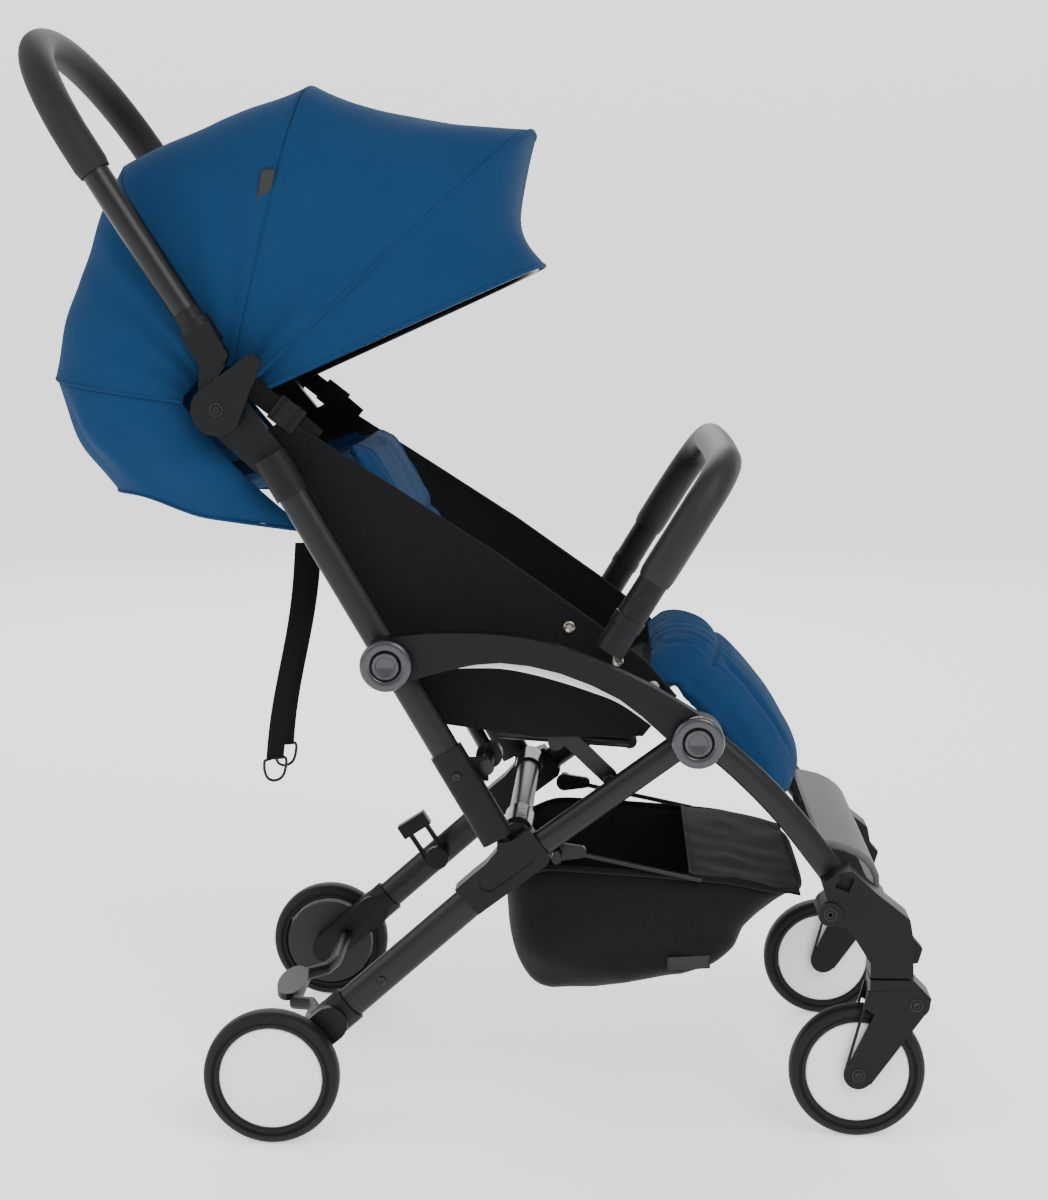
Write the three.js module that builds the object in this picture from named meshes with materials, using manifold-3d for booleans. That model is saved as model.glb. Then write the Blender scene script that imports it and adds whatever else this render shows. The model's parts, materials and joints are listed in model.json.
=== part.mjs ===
// A compact folding baby stroller, in millimetres. X points forward, Y to the stroller's left, Z up.
// The ground is Z = 0. Pieces are laid out from the rear axle, and the whole is centred at the end.
import * as THREE from 'three'
import { mergeVertices } from 'three/addons/utils/BufferGeometryUtils.js'
import Module from 'manifold-3d'

const wasm = await Module()
wasm.setup()

// ---- driving dimensions ----
const fit = 0.35 // gap between pieces that touch
const pinRadius = 4
const pinBore = pinRadius + fit

// wheels
const wheelBase = 557
const wheelRadius = 65
const tyreWidth = 24
const rimRadius = 50
const axleRadius = 4
const wheelFacets = 26

// side-view pivots
const point = (x, z) => new THREE.Vector2(x, z)
const atFront = (x, z) => point(wheelBase + x, z) // measured from the front axle
const frontHub = point(400, 393.5)
const rearHub = point(113.3, 462.7)
const canopyHub = point(-43.6, 694.4)
const connectorPoint = point(223.3, 262.8)
const rearTubeEnd = point(56.7, 113.1)
const legEnd = atFront(-22.5, 250.7)

// tubes and their places across the width
const rearTubeY = 180 // half the width of the frame; the other layers are measured from it
const tubeWidth = 18
const tubeNear = rearTubeY - tubeWidth / 2
const tubeFar = rearTubeY + tubeWidth / 2
const upperTubeHeight = 25
const lowerTubeHeight = 31
const frontTubeWidth = 17
const frontTubeY = tubeNear - 4.5 - frontTubeWidth / 2
const frontTubeHeight = 26
const pushTubeHeight = 28
const sleeveHeight = 32
const tubeSides = 12
const backFrameY = rearTubeY - 66 // the reclining frame's side tubes
const sleeveGap = 0.8 // a soft grip's bore round its bar

// armrests, their hub rings and push buttons
const armY = tubeFar + 4
const armThickness = 18
const hubRadius = 24
const hubDepth = 29
const buttonRadius = 13
const buttonTravel = 3
const buttonProud = 4

// push handle
const handleY = rearTubeY - 8
const handleTubeRadius = 13
const gripRadius = 16.5
const handleAngle = THREE.MathUtils.degToRad(122.5)
const socketRise = 76
const socketOffset = 23
const handleSteps = 26 // as for the bumper bar
const handleBare = 5
const handleLength = 318
const hubDiscRadius = 23
const armNear = handleY + 13.6 // the canopy arm's inner face
const armPlate = 5.5
const knuckleNear = tubeNear // where the fixed knuckle ends and the handle's begins
const hubLayer = 11.6

// push tube
const pushAngle = THREE.MathUtils.degToRad(300.3)
const pushUp = 205
const sleeveStart = 103
const pushReach = 199.5
const bootSlant = 0.5

// bumper bar
const bumperY = armY + 15.5
const bumperFoot = point(318, 476)
const bumperAngle = THREE.MathUtils.degToRad(60)
const bumperLength = 196
const bumperLean = 8
const bumperLegRadius = 14
const bumperGripRadius = 16.5
const bumperSteps = 30 // pieces the bar's sweep is made of; the grip leaves out the first and last few
const bumperBare = 3

// caster
const forkGap = 14.5
const forkPlate = 3.5
const housingHalfWidth = 17
const housingFoot = 161
const crownTop = 159
const rearHalfTrack = tubeFar + 11 + tyreWidth / 2
const frontHalfTrack = frontTubeY + 13

// soft goods
const seatHalfWidth = rearTubeY - 42
const wingY = frontTubeY + 2
const wingThickness = 4
const padThickness = 24
const canopyHalfWidth = rearTubeY - 24
const canopySkin = 3
const basketHalfWidth = rearTubeY - 42
const basketWall = 3

// ---- materials ----
const finish = (color, roughness, metalness = 0) => () =>
  new THREE.MeshStandardMaterial({ color, roughness, metalness })
const paint = finish(0x1b1c1e, 0.42, 0.5)
const plastic = finish(0x202224, 0.6)
const gloss = finish(0x35373a, 0.25, 0.3)
const rubber = finish(0x161617, 0.85)
const white = finish(0xf4f4f2, 0.35)
const blueCloth = finish(0x1f4f7f, 0.9)
const blackCloth = finish(0x111214, 0.9)
const greyPlastic = finish(0x7b7b7a, 0.5)
const leather = finish(0x232427, 0.65)

// ---- geometry helpers ----
const stroller = new THREE.Group()
const polar = (from, angle, reach) =>
  point(from.x + reach * Math.cos(angle), from.y + reach * Math.sin(angle))
const sides = [['r', -1], ['l', 1]]

function add(name, geometry, material) {
  const mesh = new THREE.Mesh(geometry, material())
  mesh.name = name
  stroller.add(mesh)
}

function toSolid(geometry) {
  const plain = geometry.clone()
  plain.deleteAttribute('normal')
  plain.deleteAttribute('uv')
  const welded = mergeVertices(plain, 1e-3)
  return new wasm.Manifold(new wasm.Mesh({
    numProp: 3,
    vertProperties: new Float32Array(welded.attributes.position.array),
    triVerts: new Uint32Array(welded.index.array),
  }))
}

function toGeometry(solid) {
  const mesh = solid.getMesh()
  const geometry = new THREE.BufferGeometry()
  geometry.setAttribute('position', new THREE.BufferAttribute(mesh.vertProperties, 3))
  geometry.setIndex(new THREE.BufferAttribute(mesh.triVerts, 1))
  return geometry
}

const join = (...parts) => toGeometry(parts.map(toSolid).reduce((all, one) => all.add(one)))
const cut = (body, ...tools) =>
  toGeometry(tools.map(toSolid).reduce((all, one) => all.subtract(one), toSolid(body)))

// a side-view outline given thickness across the width, from y0 to y1
function plate(shape, y0, y1, curveSegments = 5) {
  const geometry = new THREE.ExtrudeGeometry(shape, { depth: y1 - y0, bevelEnabled: false, curveSegments })
  return geometry.rotateX(Math.PI / 2).translate(0, y1, 0)
}

// the same plate on the left or right side, given its distances from the middle
function sidePlate(shape, side, near, far, curveSegments) {
  return side > 0 ? plate(shape, near, far, curveSegments) : plate(shape, -far, -near, curveSegments)
}

// a round pin or boss along Y
function pin(centre, radius, side, near, far, segments = 16) {
  const geometry = new THREE.CylinderGeometry(radius, radius, far - near, segments)
  return geometry.translate(centre.x, side * (near + far) / 2, centre.y)
}

const outline = points => new THREE.Shape(points)
const smooth = (points, steps) => new THREE.SplineCurve(points).getPoints(steps)

// an oval section, with width across Y and height in the side view
function oval(width, height, segments = tubeSides) {
  const shape = new THREE.Shape()
  shape.absellipse(0, 0, width / 2, height / 2, 0, Math.PI * 2)
  return new THREE.Shape(shape.getPoints(segments / 2).slice(0, -1))
}

// a tube that runs along side-view points at one distance from the middle
function sideTube(points, y, width, height, steps) {
  const path = points.length > 2
    ? new THREE.CatmullRomCurve3(points.map(p => new THREE.Vector3(p.x, y, p.y)), false, 'centripetal')
    : new THREE.LineCurve3(...points.map(p => new THREE.Vector3(p.x, y, p.y)))
  return new THREE.ExtrudeGeometry(oval(width, height), { extrudePath: path, steps, bevelEnabled: false })
}

// a round bar along any curve
function roundBar(curve, radius, steps, segments = tubeSides) {
  const section = oval(radius * 2, radius * 2, segments)
  return new THREE.ExtrudeGeometry(section, { extrudePath: curve, steps, bevelEnabled: false })
}

// a round-ended bar in side view, between two points
function stadium(a, b, radiusA, radiusB) {
  const angle = Math.atan2(b.y - a.y, b.x - a.x)
  const shape = new THREE.Shape()
  shape.absarc(a.x, a.y, radiusA, angle + Math.PI / 2, angle - Math.PI / 2, false)
  shape.absarc(b.x, b.y, radiusB, angle - Math.PI / 2, angle + Math.PI / 2, false)
  return shape
}

// ---- wheels ----
function tyre(centre, side, halfTrack) {
  const w = tyreWidth / 2
  const profile = [
    [rimRadius, -w + 2], [rimRadius + 3, -w], [wheelRadius - 6, -w], [wheelRadius - 2, -w + 3],
    [wheelRadius, -w / 2], [wheelRadius, w / 2], [wheelRadius - 2, w - 3], [wheelRadius - 6, w],
    [rimRadius + 3, w], [rimRadius, w - 2], [rimRadius, -w + 2],
  ].map(([r, y]) => point(r, y))
  return new THREE.LatheGeometry(profile, wheelFacets).translate(centre.x, side * halfTrack, centre.y)
}

function rim(centre, side, halfTrack) {
  const w = tyreWidth / 2
  const r = rimRadius - fit
  const profile = [
    [0, -w + 3], [12, -w + 3], [14, -w + 4.5], [r - 6, -w + 5.5], [r - 4, -w + 2.5], [r, -w + 2.5],
    [r, w - 2.5], [r - 4, w - 2.5], [r - 6, w - 4.5], [12, w - 4], [0, w - 4],
  ].map(([radius, y]) => point(radius, y))
  return new THREE.LatheGeometry(profile, wheelFacets).translate(centre.x, side * halfTrack, centre.y)
}

const rearAxle = point(0, wheelRadius)
const frontAxle = point(wheelBase, wheelRadius)
for (const [suffix, side] of sides) {
  add(`rear_tyre_${suffix}`, tyre(rearAxle, side, rearHalfTrack), rubber)
  add(`rear_rim_${suffix}`, rim(rearAxle, side, rearHalfTrack), white)
  add(`front_tyre_${suffix}`, tyre(frontAxle, side, frontHalfTrack), rubber)
  add(`front_rim_${suffix}`, rim(frontAxle, side, frontHalfTrack), white)
}

// ---- rear frame ----
const rearDown = Math.atan2(rearTubeEnd.y - connectorPoint.y, rearTubeEnd.x - connectorPoint.x)
const rearUp = Math.atan2(frontHub.y - connectorPoint.y, frontHub.x - connectorPoint.x)

function rearTube(side, grow = 0) {
  const y = side * rearTubeY
  const width = tubeWidth + grow * 2
  const upper = sideTube([frontHub, connectorPoint], y, width, upperTubeHeight + grow * 2, 1)
  const lowerStart = polar(connectorPoint, rearUp, 14)
  const lower = sideTube([lowerStart, rearTubeEnd], y, width, lowerTubeHeight + grow * 2, 1)
  const boss = pin(frontHub, 15 + grow, side, tubeNear - grow, tubeFar + grow)
  return join(upper, lower, boss)
}

// the Y-shaped piece clamped on the rear tube, whose short arm meets the push tube's end
function connector(side) {
  const u = rearUp + Math.PI / 2
  const top = upperTubeHeight / 2 + 6
  const bottom = lowerTubeHeight / 2 + 3.5
  const at = (along, across) => polar(polar(connectorPoint, rearUp, along), u, across)
  const body = outline([
    at(-48, -bottom), at(34, -bottom + 1), at(40, -bottom + 5), at(40, top - 2), at(34, top),
    at(16, top + 3), at(8, top + 9), at(3, top + 2), at(-14, top - 2), at(-30, top - 3), at(-52, top - 5),
  ])
  const near = tubeNear - 3
  const far = tubeFar + 3
  const badge = stadium(at(-22, 1), at(22, 1), 9, 9)
  const recess = sidePlate(badge, side, far - 1.4, far + 1)
  return cut(sidePlate(body, side, near, far), rearTube(side, fit), recess)
}

// the plastic end of the rear tube that holds the wheel's axle
function axleHousing(side) {
  const back = polar(rearTubeEnd, rearDown, 16)
  const start = polar(rearTubeEnd, rearDown + Math.PI, 20)
  const sleeve = sideTube([start, back], side * rearTubeY, tubeWidth + 6, lowerTubeHeight + 6, 1)
  const leg = stadium(polar(back, rearDown, -12), rearAxle, 17, 16)
  const near = tubeNear - 2
  const far = rearHalfTrack - tyreWidth / 2 - 2
  const stub = pin(rearAxle, axleRadius + 6, side, near, rearHalfTrack - tyreWidth / 2 + 1)
  return cut(join(sleeve, sidePlate(leg, side, near, far), stub), rearTube(side, fit))
}

for (const [suffix, side] of sides) {
  const hubBore = pin(frontHub, pinBore, side, tubeNear - 1, tubeFar + 1)
  add(`rear_tube_${suffix}`, cut(rearTube(side), hubBore), paint)
  add(`connector_${suffix}`, connector(side), plastic)
  add(`axle_housing_${suffix}`, axleHousing(side), plastic)
}

// the tube across the frame, between the two connectors
const crossPoint = point(231, 291)
const crossLength = (tubeNear - 3 - fit) * 2
add('crossbar', pin(crossPoint, 12, 1, -crossLength / 2, crossLength / 2), gloss)

// the frame under the seat, with the side hangers that carry it
const railY = rearTubeY - 50
const hangerY = rearTubeY - 28
const hangerBolt = point(268, 393)
const hangerTop = point(285, 428)
const linkFoot = point(318, 345)
function seatFrame() {
  const railRadius = 6
  const front = point(338, 374)
  const back = point(212, 382)
  const rails = sides.map(([, side]) =>
    sideTube([back, front], side * railY, railRadius * 2, railRadius * 2, 1))
  const cross = pin(front, railRadius + 1, 1, -railY, railY, 12)
  const bracket = point(hangerBolt.x, hangerBolt.y - 15)
  const hangers = sides.flatMap(([, side]) => [
    sidePlate(stadium(hangerBolt, hangerTop, 13, 12), side, hangerY, hangerY + 4),
    sidePlate(stadium(hangerBolt, linkFoot, 8, 8), side, hangerY - 3, hangerY + 0.5),
    sidePlate(stadium(hangerBolt, bracket, 8, 8), side, hangerY - 3, hangerY + 2),
    pin(bracket, railRadius, side, railY, hangerY, 12),
    pin(linkFoot, 5, side, hangerY - 2, tubeNear - fit, 16),
  ])
  return join(...rails, cross, ...hangers)
}
add('seat_frame', seatFrame(), paint)

// the steel rods that hold the basket's upper edges
const basketRodY = basketHalfWidth + 4
const rodBack = point(279, 268)
const rodFront = point(408, 241)
for (const [suffix, side] of sides) {
  const rod = sideTube([rodBack, rodFront], side * basketRodY, 5, 5, 1)
  const footShape = stadium(polar(rodBack, 0, -10), polar(rodBack, 0, 12), 9, 6)
  const foot = sidePlate(footShape, side, basketRodY - 3, basketRodY + 3)
  const arm = pin(polar(rodBack, 0, -10), 5, side, basketRodY, tubeNear - fit, 16)
  add(`basket_rod_${suffix}`, join(rod, foot, arm), paint)
}

// the foot brake: a bar across the rear axle with a pedal in the middle
const brakePivot = point(22, 82)
function brakeBar() {
  const end = tubeNear - 2 - fit * 2
  const row = [[end, 0, 0], [62, 0, 0], [44, -26, -4], [-44, -26, -4], [-62, 0, 0], [-end, 0, 0]]
  const points = row.map(([y, x, z]) => new THREE.Vector3(brakePivot.x + x, y, brakePivot.y + z))
  const curve = new THREE.CatmullRomCurve3(points, false, 'catmullrom', 0.12)
  const pedal = new THREE.Shape()
  pedal.absellipse(0, 0, 46, 15, 0, Math.PI * 2)
  const pad = new THREE.ExtrudeGeometry(pedal, { depth: 7, bevelEnabled: false, curveSegments: 8 })
  pad.rotateZ(Math.PI / 2).translate(brakePivot.x - 34, 0, brakePivot.y - 2)
  return join(roundBar(curve, 7, 16, 10), pad)
}
add('brake_bar', brakeBar(), paint)

// the hook that keeps the folded frame shut, on the inner face of the left rear tube
const latchPivot = point(127, 176)
const latchAngle = THREE.MathUtils.degToRad(123)
function foldLatch() {
  const y1 = tubeNear - 8
  const y0 = y1 - 8
  const at = (along, across) => polar(polar(latchPivot, latchAngle, along), latchAngle - Math.PI / 2, across)
  const frame = outline([at(-6, -13), at(50, -13), at(50, 13), at(-6, 13)])
  const window = outline([at(9, -8), at(38, -8), at(38, 8), at(9, 8)])
  const head = outline([at(38, -17), at(54, -17), at(54, 17), at(38, 17)])
  const body = cut(plate(frame, y0 + 2, y1), plate(window, y0, y1 + 1))
  const boss = pin(latchPivot, 13, 1, y0, y1)
  const shaft = pin(latchPivot, 6, 1, y0, tubeNear - fit)
  return join(body, plate(head, y0 - 6, y1), boss, shaft)
}
add('fold_latch', foldLatch(), plastic)

// ---- armrests with their hubs, and the push buttons in them ----
const upperEdge = [[113, 486.5], [155, 491.5], [218, 490.5], [273, 479.5], [346, 449], [401, 417.5]]
const lowerEdge = [[381, 385], [364, 401], [328, 431], [273, 455], [218, 464.5], [173, 458], [132, 446]]
function armrest(side) {
  const armShape = outline([
    ...smooth(upperEdge.map(([x, z]) => point(x, z)), 12),
    ...smooth(lowerEdge.map(([x, z]) => point(x, z)), 12),
  ])
  const far = armY + hubDepth
  const pocket = far - buttonTravel - 8
  const solid = join(
    sidePlate(armShape, side, armY, armY + armThickness),
    ...[frontHub, rearHub].map(hub => pin(hub, hubRadius, side, armY, far, 28)),
    pin(frontHub, pinRadius, side, frontTubeY - frontTubeWidth / 2 + 1, armY + 1, 16),
    pin(rearHub, pinRadius, side, tubeNear + 1, armY + 1, 16),
  )
  const pockets = [frontHub, rearHub].map(hub => pin(hub, buttonRadius + fit * 2, side, pocket, far + 1, 24))
  const socket = bumperLegCut(side)
  return cut(solid, ...pockets, socket)
}

// the bumper's leg is clear of the armrest by the fit, down to the bottom of its socket
function bumperLegCut(side) {
  const foot = new THREE.Vector3(bumperFoot.x, side * bumperY, bumperFoot.y)
  const tip = polar(bumperFoot, bumperAngle, 60)
  const path = new THREE.LineCurve3(foot, new THREE.Vector3(tip.x, side * bumperY, tip.y))
  return roundBar(path, bumperLegRadius + fit, 1, 20)
}

for (const [suffix, side] of sides) {
  add(`armrest_${suffix}`, armrest(side), plastic)
  const far = armY + hubDepth
  const floor = far - 8
  for (const [name, hub] of [['front', frontHub], ['rear', rearHub]]) {
    add(`${name}_button_${suffix}`, pin(hub, buttonRadius, side, floor + fit, far + buttonProud, 24), gloss)
  }
}

// ---- bumper bar ----
// in the bar's own plane: how far along, and how far from the middle, at each bend
function bumperCurve(from, to) {
  const row = [
    [0, 1], [bumperLength * 0.74, 1], [bumperLength * 0.9, 0.94],
    [bumperLength * 0.98, 0.8], [bumperLength, 0.5],
  ]
  const half = row.map(([along, share]) => {
    const p = polar(bumperFoot, bumperAngle, along)
    return new THREE.Vector3(p.x + bumperLean * (along / bumperLength) ** 2, share * bumperY, p.y)
  })
  const whole = [...half, ...half.slice().reverse().map(p => new THREE.Vector3(p.x, -p.y, p.z))]
  const curve = new THREE.CatmullRomCurve3(whole, false, 'centripetal')
  const length = curve.getLength()
  const points = []
  for (let i = 0; i <= 28; i++) points.push(curve.getPointAt((from + (to - from) * i / 28) / length))
  return { curve: new THREE.CatmullRomCurve3(points, false, 'centripetal'), length }
}
const bumperWhole = bumperCurve(0, 1).length
const buttonAlong = 52 // up the leg of the bar
const bumperInside = bumperCurve(0, bumperWhole).curve
const bumperButton = (side, grow = 0) => {
  const p = polar(bumperFoot, bumperAngle, buttonAlong)
  const far = bumperY + bumperLegRadius + 1.5
  return pin(p, 8 + grow, side, far - 6 - grow * 8, far + grow * 4)
}
const bumperPockets = sides.map(([, side]) => bumperButton(side, fit))
add('bumper_bar', cut(roundBar(bumperInside, bumperLegRadius, bumperSteps, 10), ...bumperPockets), plastic)
const bumperBareLength = bumperWhole * bumperBare / bumperSteps
const gripBar = bumperCurve(bumperBareLength, bumperWhole - bumperBareLength).curve
const gripCore = roundBar(bumperInside, bumperLegRadius + sleeveGap, bumperSteps, 10)
add('bumper_grip', cut(roundBar(gripBar, bumperGripRadius, bumperSteps - bumperBare * 2), gripCore), leather)
for (const [suffix, side] of sides) add(`bumper_button_${suffix}`, bumperButton(side), plastic)

// ---- push frame ----
const reclinePivot = point(202, 357)
const pushTop = polar(rearHub, pushAngle + Math.PI, pushUp)
const pushFoot = polar(rearHub, pushAngle, pushReach)
const pushSleeveTop = polar(rearHub, pushAngle, sleeveStart)
function pushTube(side, grow = 0) {
  const y = side * rearTubeY
  return sideTube([pushTop, pushFoot], y, tubeWidth + grow * 2, pushTubeHeight + grow * 2, 1)
}

// the lower sleeve has a slanted end that rests over the connector's short arm
function pushLower(side) {
  const u = pushAngle + Math.PI / 2
  const at = (along, across) => polar(polar(rearHub, pushAngle, along), u, across)
  const half = sleeveHeight / 2
  const shape = outline([
    at(sleeveStart, -half), at(pushReach + bootSlant, -half - 1),
    at(pushReach - bootSlant, half + 1), at(sleeveStart, half),
  ])
  const tube = cut(pushTube(side), pin(rearHub, pinBore, side, tubeNear - 1, tubeFar + 1))
  const earRoot = polar(rearHub, pushAngle, 128)
  const ear = sidePlate(stadium(earRoot, reclinePivot, 12, 11), side, tubeNear - 7, tubeNear)
  const reclinePin = pin(reclinePivot, 6, side, backFrameY + 7 + fit, tubeNear - 4, 12)
  return join(tube, sidePlate(shape, side, tubeNear - 1.5, tubeFar + 1.5), ear, reclinePin)
}

const handleLine = polar(canopyHub, handleAngle - Math.PI / 2, socketOffset)
const handleAt = along => polar(handleLine, handleAngle, along)

// the knuckle at the top of the push tube, with the pin that the handle and canopy arm turn on
function hingeSocket(side) {
  const collar = sideTube([polar(pushTop, pushAngle, 28), polar(pushTop, pushAngle, -14)], side * rearTubeY,
    tubeWidth + 6, pushTubeHeight + 5, 1)
  const shapeEnd = polar(pushTop, pushAngle, 6)
  const neck = stadium(canopyHub, shapeEnd, hubDiscRadius - 1, 16)
  const near = knuckleNear - hubLayer
  const knuckle = sidePlate(neck, side, near, knuckleNear)
  const hingePin = pin(canopyHub, pinRadius, side, near + 1, armNear + armPlate - 1, 16)
  return cut(join(collar, knuckle, hingePin), pushTube(side, fit))
}

for (const [suffix, side] of sides) {
  add(`push_tube_${suffix}`, pushLower(side), paint)
  add(`hinge_socket_${suffix}`, hingeSocket(side), plastic)
}

// ---- handle ----
// the loop's centre line: straight sides, then a rounded top
function handleCurve(from, to) {
  const row = [
    [0, 1], [handleLength * 0.5, 1], [handleLength * 0.7, 0.965], [handleLength - 46, 0.78],
    [handleLength - 12, 0.45], [handleLength, 0],
  ]
  const half = row.map(([along, share]) => {
    const p = handleAt(socketRise + along)
    return new THREE.Vector3(p.x, share * handleY, p.y)
  })
  const whole = [...half, ...half.slice(0, -1).reverse().map(p => new THREE.Vector3(p.x, -p.y, p.z))]
  const curve = new THREE.CatmullRomCurve3(whole, false, 'centripetal')
  const length = curve.getLength()
  const points = []
  for (let i = 0; i <= 36; i++) points.push(curve.getPointAt((from + (to - from) * i / 36) / length))
  return { curve: new THREE.CatmullRomCurve3(points, false, 'centripetal'), length }
}
const handleWhole = handleCurve(0, 1).length
function handleSocket(side) {
  const shape = new THREE.Shape()
  const low = handleAt(socketRise - 34)
  const start = handleAngle + Math.PI / 2
  shape.absarc(canopyHub.x, canopyHub.y, hubDiscRadius, start, start + Math.PI * 1.4, false)
  const u = handleAngle - Math.PI / 2
  for (const [along, across] of [[-6, 13], [30, 15], [30, -15], [0, -15]]) {
    const p = polar(polar(low, handleAngle, along), u, across)
    shape.lineTo(p.x, p.y)
  }
  return cut(sidePlate(shape, side, knuckleNear + fit, armNear - fit, 10),
    pin(canopyHub, pinBore, side, knuckleNear, armNear))
}
const collarLine = [handleAt(socketRise - 24), handleAt(socketRise + 4)]
const collarWidth = (armNear - fit - handleY) * 2
const socketCollars = sides.map(([, side]) =>
  sideTube(collarLine, side * handleY, collarWidth, gripRadius * 2 - 1, 1))
add('handle_tube', join(roundBar(handleCurve(0, handleWhole).curve, handleTubeRadius, handleSteps, 10),
  ...sides.map(([, side]) => handleSocket(side)), ...socketCollars), paint)
const handleBareLength = handleWhole * handleBare / handleSteps
const gripLoop = handleCurve(handleBareLength, handleWhole - handleBareLength).curve
const gripHollow = roundBar(handleCurve(0, handleWhole).curve, handleTubeRadius + sleeveGap, handleSteps, 10)
add('handle_grip', cut(roundBar(gripLoop, gripRadius, handleSteps - handleBare * 2), gripHollow), rubber)

// ---- front legs ----
const legBend = (u, w) => point(
  THREE.MathUtils.lerp(frontHub.x, legEnd.x, u),
  THREE.MathUtils.lerp(frontHub.y, legEnd.y, w),
)
const legPoints = [frontHub, legBend(0.375, 0.307), legBend(0.668, 0.597), legEnd]
const legNear = frontTubeY - frontTubeWidth / 2
const legFar = frontTubeY + frontTubeWidth / 2
function frontTube(side, grow = 0) {
  const tube = sideTube(legPoints, side * frontTubeY, frontTubeWidth + grow * 2, frontTubeHeight + grow * 2, 7)
  return join(tube, pin(frontHub, 14 + grow, side, legNear - grow, legFar + grow))
}

// the moulded foot of the leg: it holds the tube's end and the caster's upright housing
const legBolt = atFront(-30.1, 223.2)
const bracketOutline = [
  [-38, 251], [-25, 262], [-11, 265], [13, 243.5], [45, 218], [48.5, 200],
  [49.5, housingFoot], [9, housingFoot],
  [9, 175], [-12, 208], [-24, 212], [-30, 211.5], [-38, 215], [-42, 223], [-39, 231], [-33, 236],
]
function frontBracket(side) {
  const shape = outline(bracketOutline.map(([x, z]) => atFront(x, z)))
  const near = frontHalfTrack - housingHalfWidth - 3
  const far = frontHalfTrack + housingHalfWidth
  const window = outline([atFront(-21, 262), atFront(-8, 257), atFront(-13, 244), atFront(-26, 249)])
  const body = sidePlate(shape, side, near, far)
  const boss = pin(legBolt, 11.5, side, near, far + 3, 28)
  const lockSlot = outline([atFront(44, 198), atFront(55, 198), atFront(55, 165), atFront(44, 165)])
  return cut(join(body, boss), frontTube(side, fit), sidePlate(window, side, far - 7, far + 1),
    sidePlate(lockSlot, side, frontHalfTrack - 8, frontHalfTrack + 8))
}

// the tab on the front of the housing that locks the swivel
function swivelLock(side) {
  const row = [[45.5, 193], [51, 196], [59, 187], [55, 173], [45.5, 171]]
  const shape = outline(row.map(([x, z]) => atFront(x, z)))
  return sidePlate(shape, side, frontHalfTrack - 7.5, frontHalfTrack + 7.5)
}

// the swivelling fork: a crown under the housing and a cheek on each side of the wheel
const forkBolt = atFront(52.9, 135.2)
function casterFork(side) {
  const row = [[9, crownTop], [50, crownTop], [67, 141], [65, 133], [9, 134]]
  const crown = outline(row.map(([x, z]) => atFront(x, z)))
  const cheek = new THREE.Shape()
  cheek.moveTo(wheelBase + 7, 148)
  cheek.lineTo(wheelBase + 55, 149)
  cheek.absarc(forkBolt.x, forkBolt.y, 13, Math.PI * 0.45, -Math.PI * 0.3, true)
  cheek.lineTo(wheelBase + 12, 56)
  cheek.absarc(frontAxle.x, frontAxle.y, 14, -Math.PI * 0.22, -Math.PI * 1.08, true)
  const slit = outline([atFront(5, 131), atFront(13.5, 125), atFront(-9, 76)])
  const wide = forkGap + forkPlate
  const cheeks = [-1, 1].map(inner => {
    const y0 = side * frontHalfTrack + (inner > 0 ? forkGap : -wide)
    return cut(plate(cheek, y0, y0 + forkPlate), plate(slit, y0 - 1, y0 + forkPlate + 1))
  })
  const bridge = plate(crown, side * frontHalfTrack - wide + 0.5, side * frontHalfTrack + wide - 0.5)
  const room = new THREE.CylinderGeometry(wheelRadius + 2, wheelRadius + 2, forkGap * 2, 40)
  room.translate(frontAxle.x, side * frontHalfTrack, frontAxle.y)
  const bosses = [-1, 1].map(inner => {
    const y0 = side * frontHalfTrack + (inner > 0 ? tyreWidth / 2 - 2.5 : -forkGap - 1)
    return pin(frontAxle, 9, 1, y0, y0 + forkGap + 1 - tyreWidth / 2 + 2.5, 20)
  })
  return join(cut(join(bridge, ...cheeks), room), ...bosses)
}

for (const [suffix, side] of sides) {
  const hubBore = pin(frontHub, pinBore, side, legNear - 1, legFar + 1)
  add(`front_tube_${suffix}`, cut(frontTube(side), hubBore), paint)
  add(`front_bracket_${suffix}`, frontBracket(side), plastic)
  add(`swivel_lock_${suffix}`, swivelLock(side), plastic)
  add(`caster_fork_${suffix}`, casterFork(side), plastic)
}

// the curved footrest between the legs
const footrestHalf = legNear - fit
function footrest() {
  const outer = [[-38, 285], [-12, 280], [9, 268], [20, 250], [20, 230]]
  const inner = [[14, 231], [14, 248], [4, 263], [-14, 273], [-38, 278]]
  const edge = row => smooth(row.map(([x, z]) => atFront(x, z)), 8)
  return plate(outline([...edge(outer), ...edge(inner)]), -footrestHalf, footrestHalf)
}
add('footrest', footrest(), greyPlastic)

// ---- backrest frame and seat ----
const backLean = THREE.MathUtils.degToRad(119)
function backFrame() {
  const at = along => polar(reclinePivot, backLean, along)
  const leg = [[0, 1], [215, 1], [262, 0.93], [292, 0.7], [300, 0.3]].map(([along, share]) => {
    const p = at(along)
    return new THREE.Vector3(p.x, share * backFrameY, p.y)
  })
  const whole = [...leg, ...leg.slice().reverse().map(p => new THREE.Vector3(p.x, -p.y, p.z))]
  const loop = roundBar(new THREE.CatmullRomCurve3(whole, false, 'centripetal'), 7, 24, 10)
  const bosses = sides.map(([, side]) => pin(reclinePivot, 13, side, backFrameY - 7, backFrameY + 7))
  return join(loop, ...bosses)
}
add('back_frame', backFrame(), paint)

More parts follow.
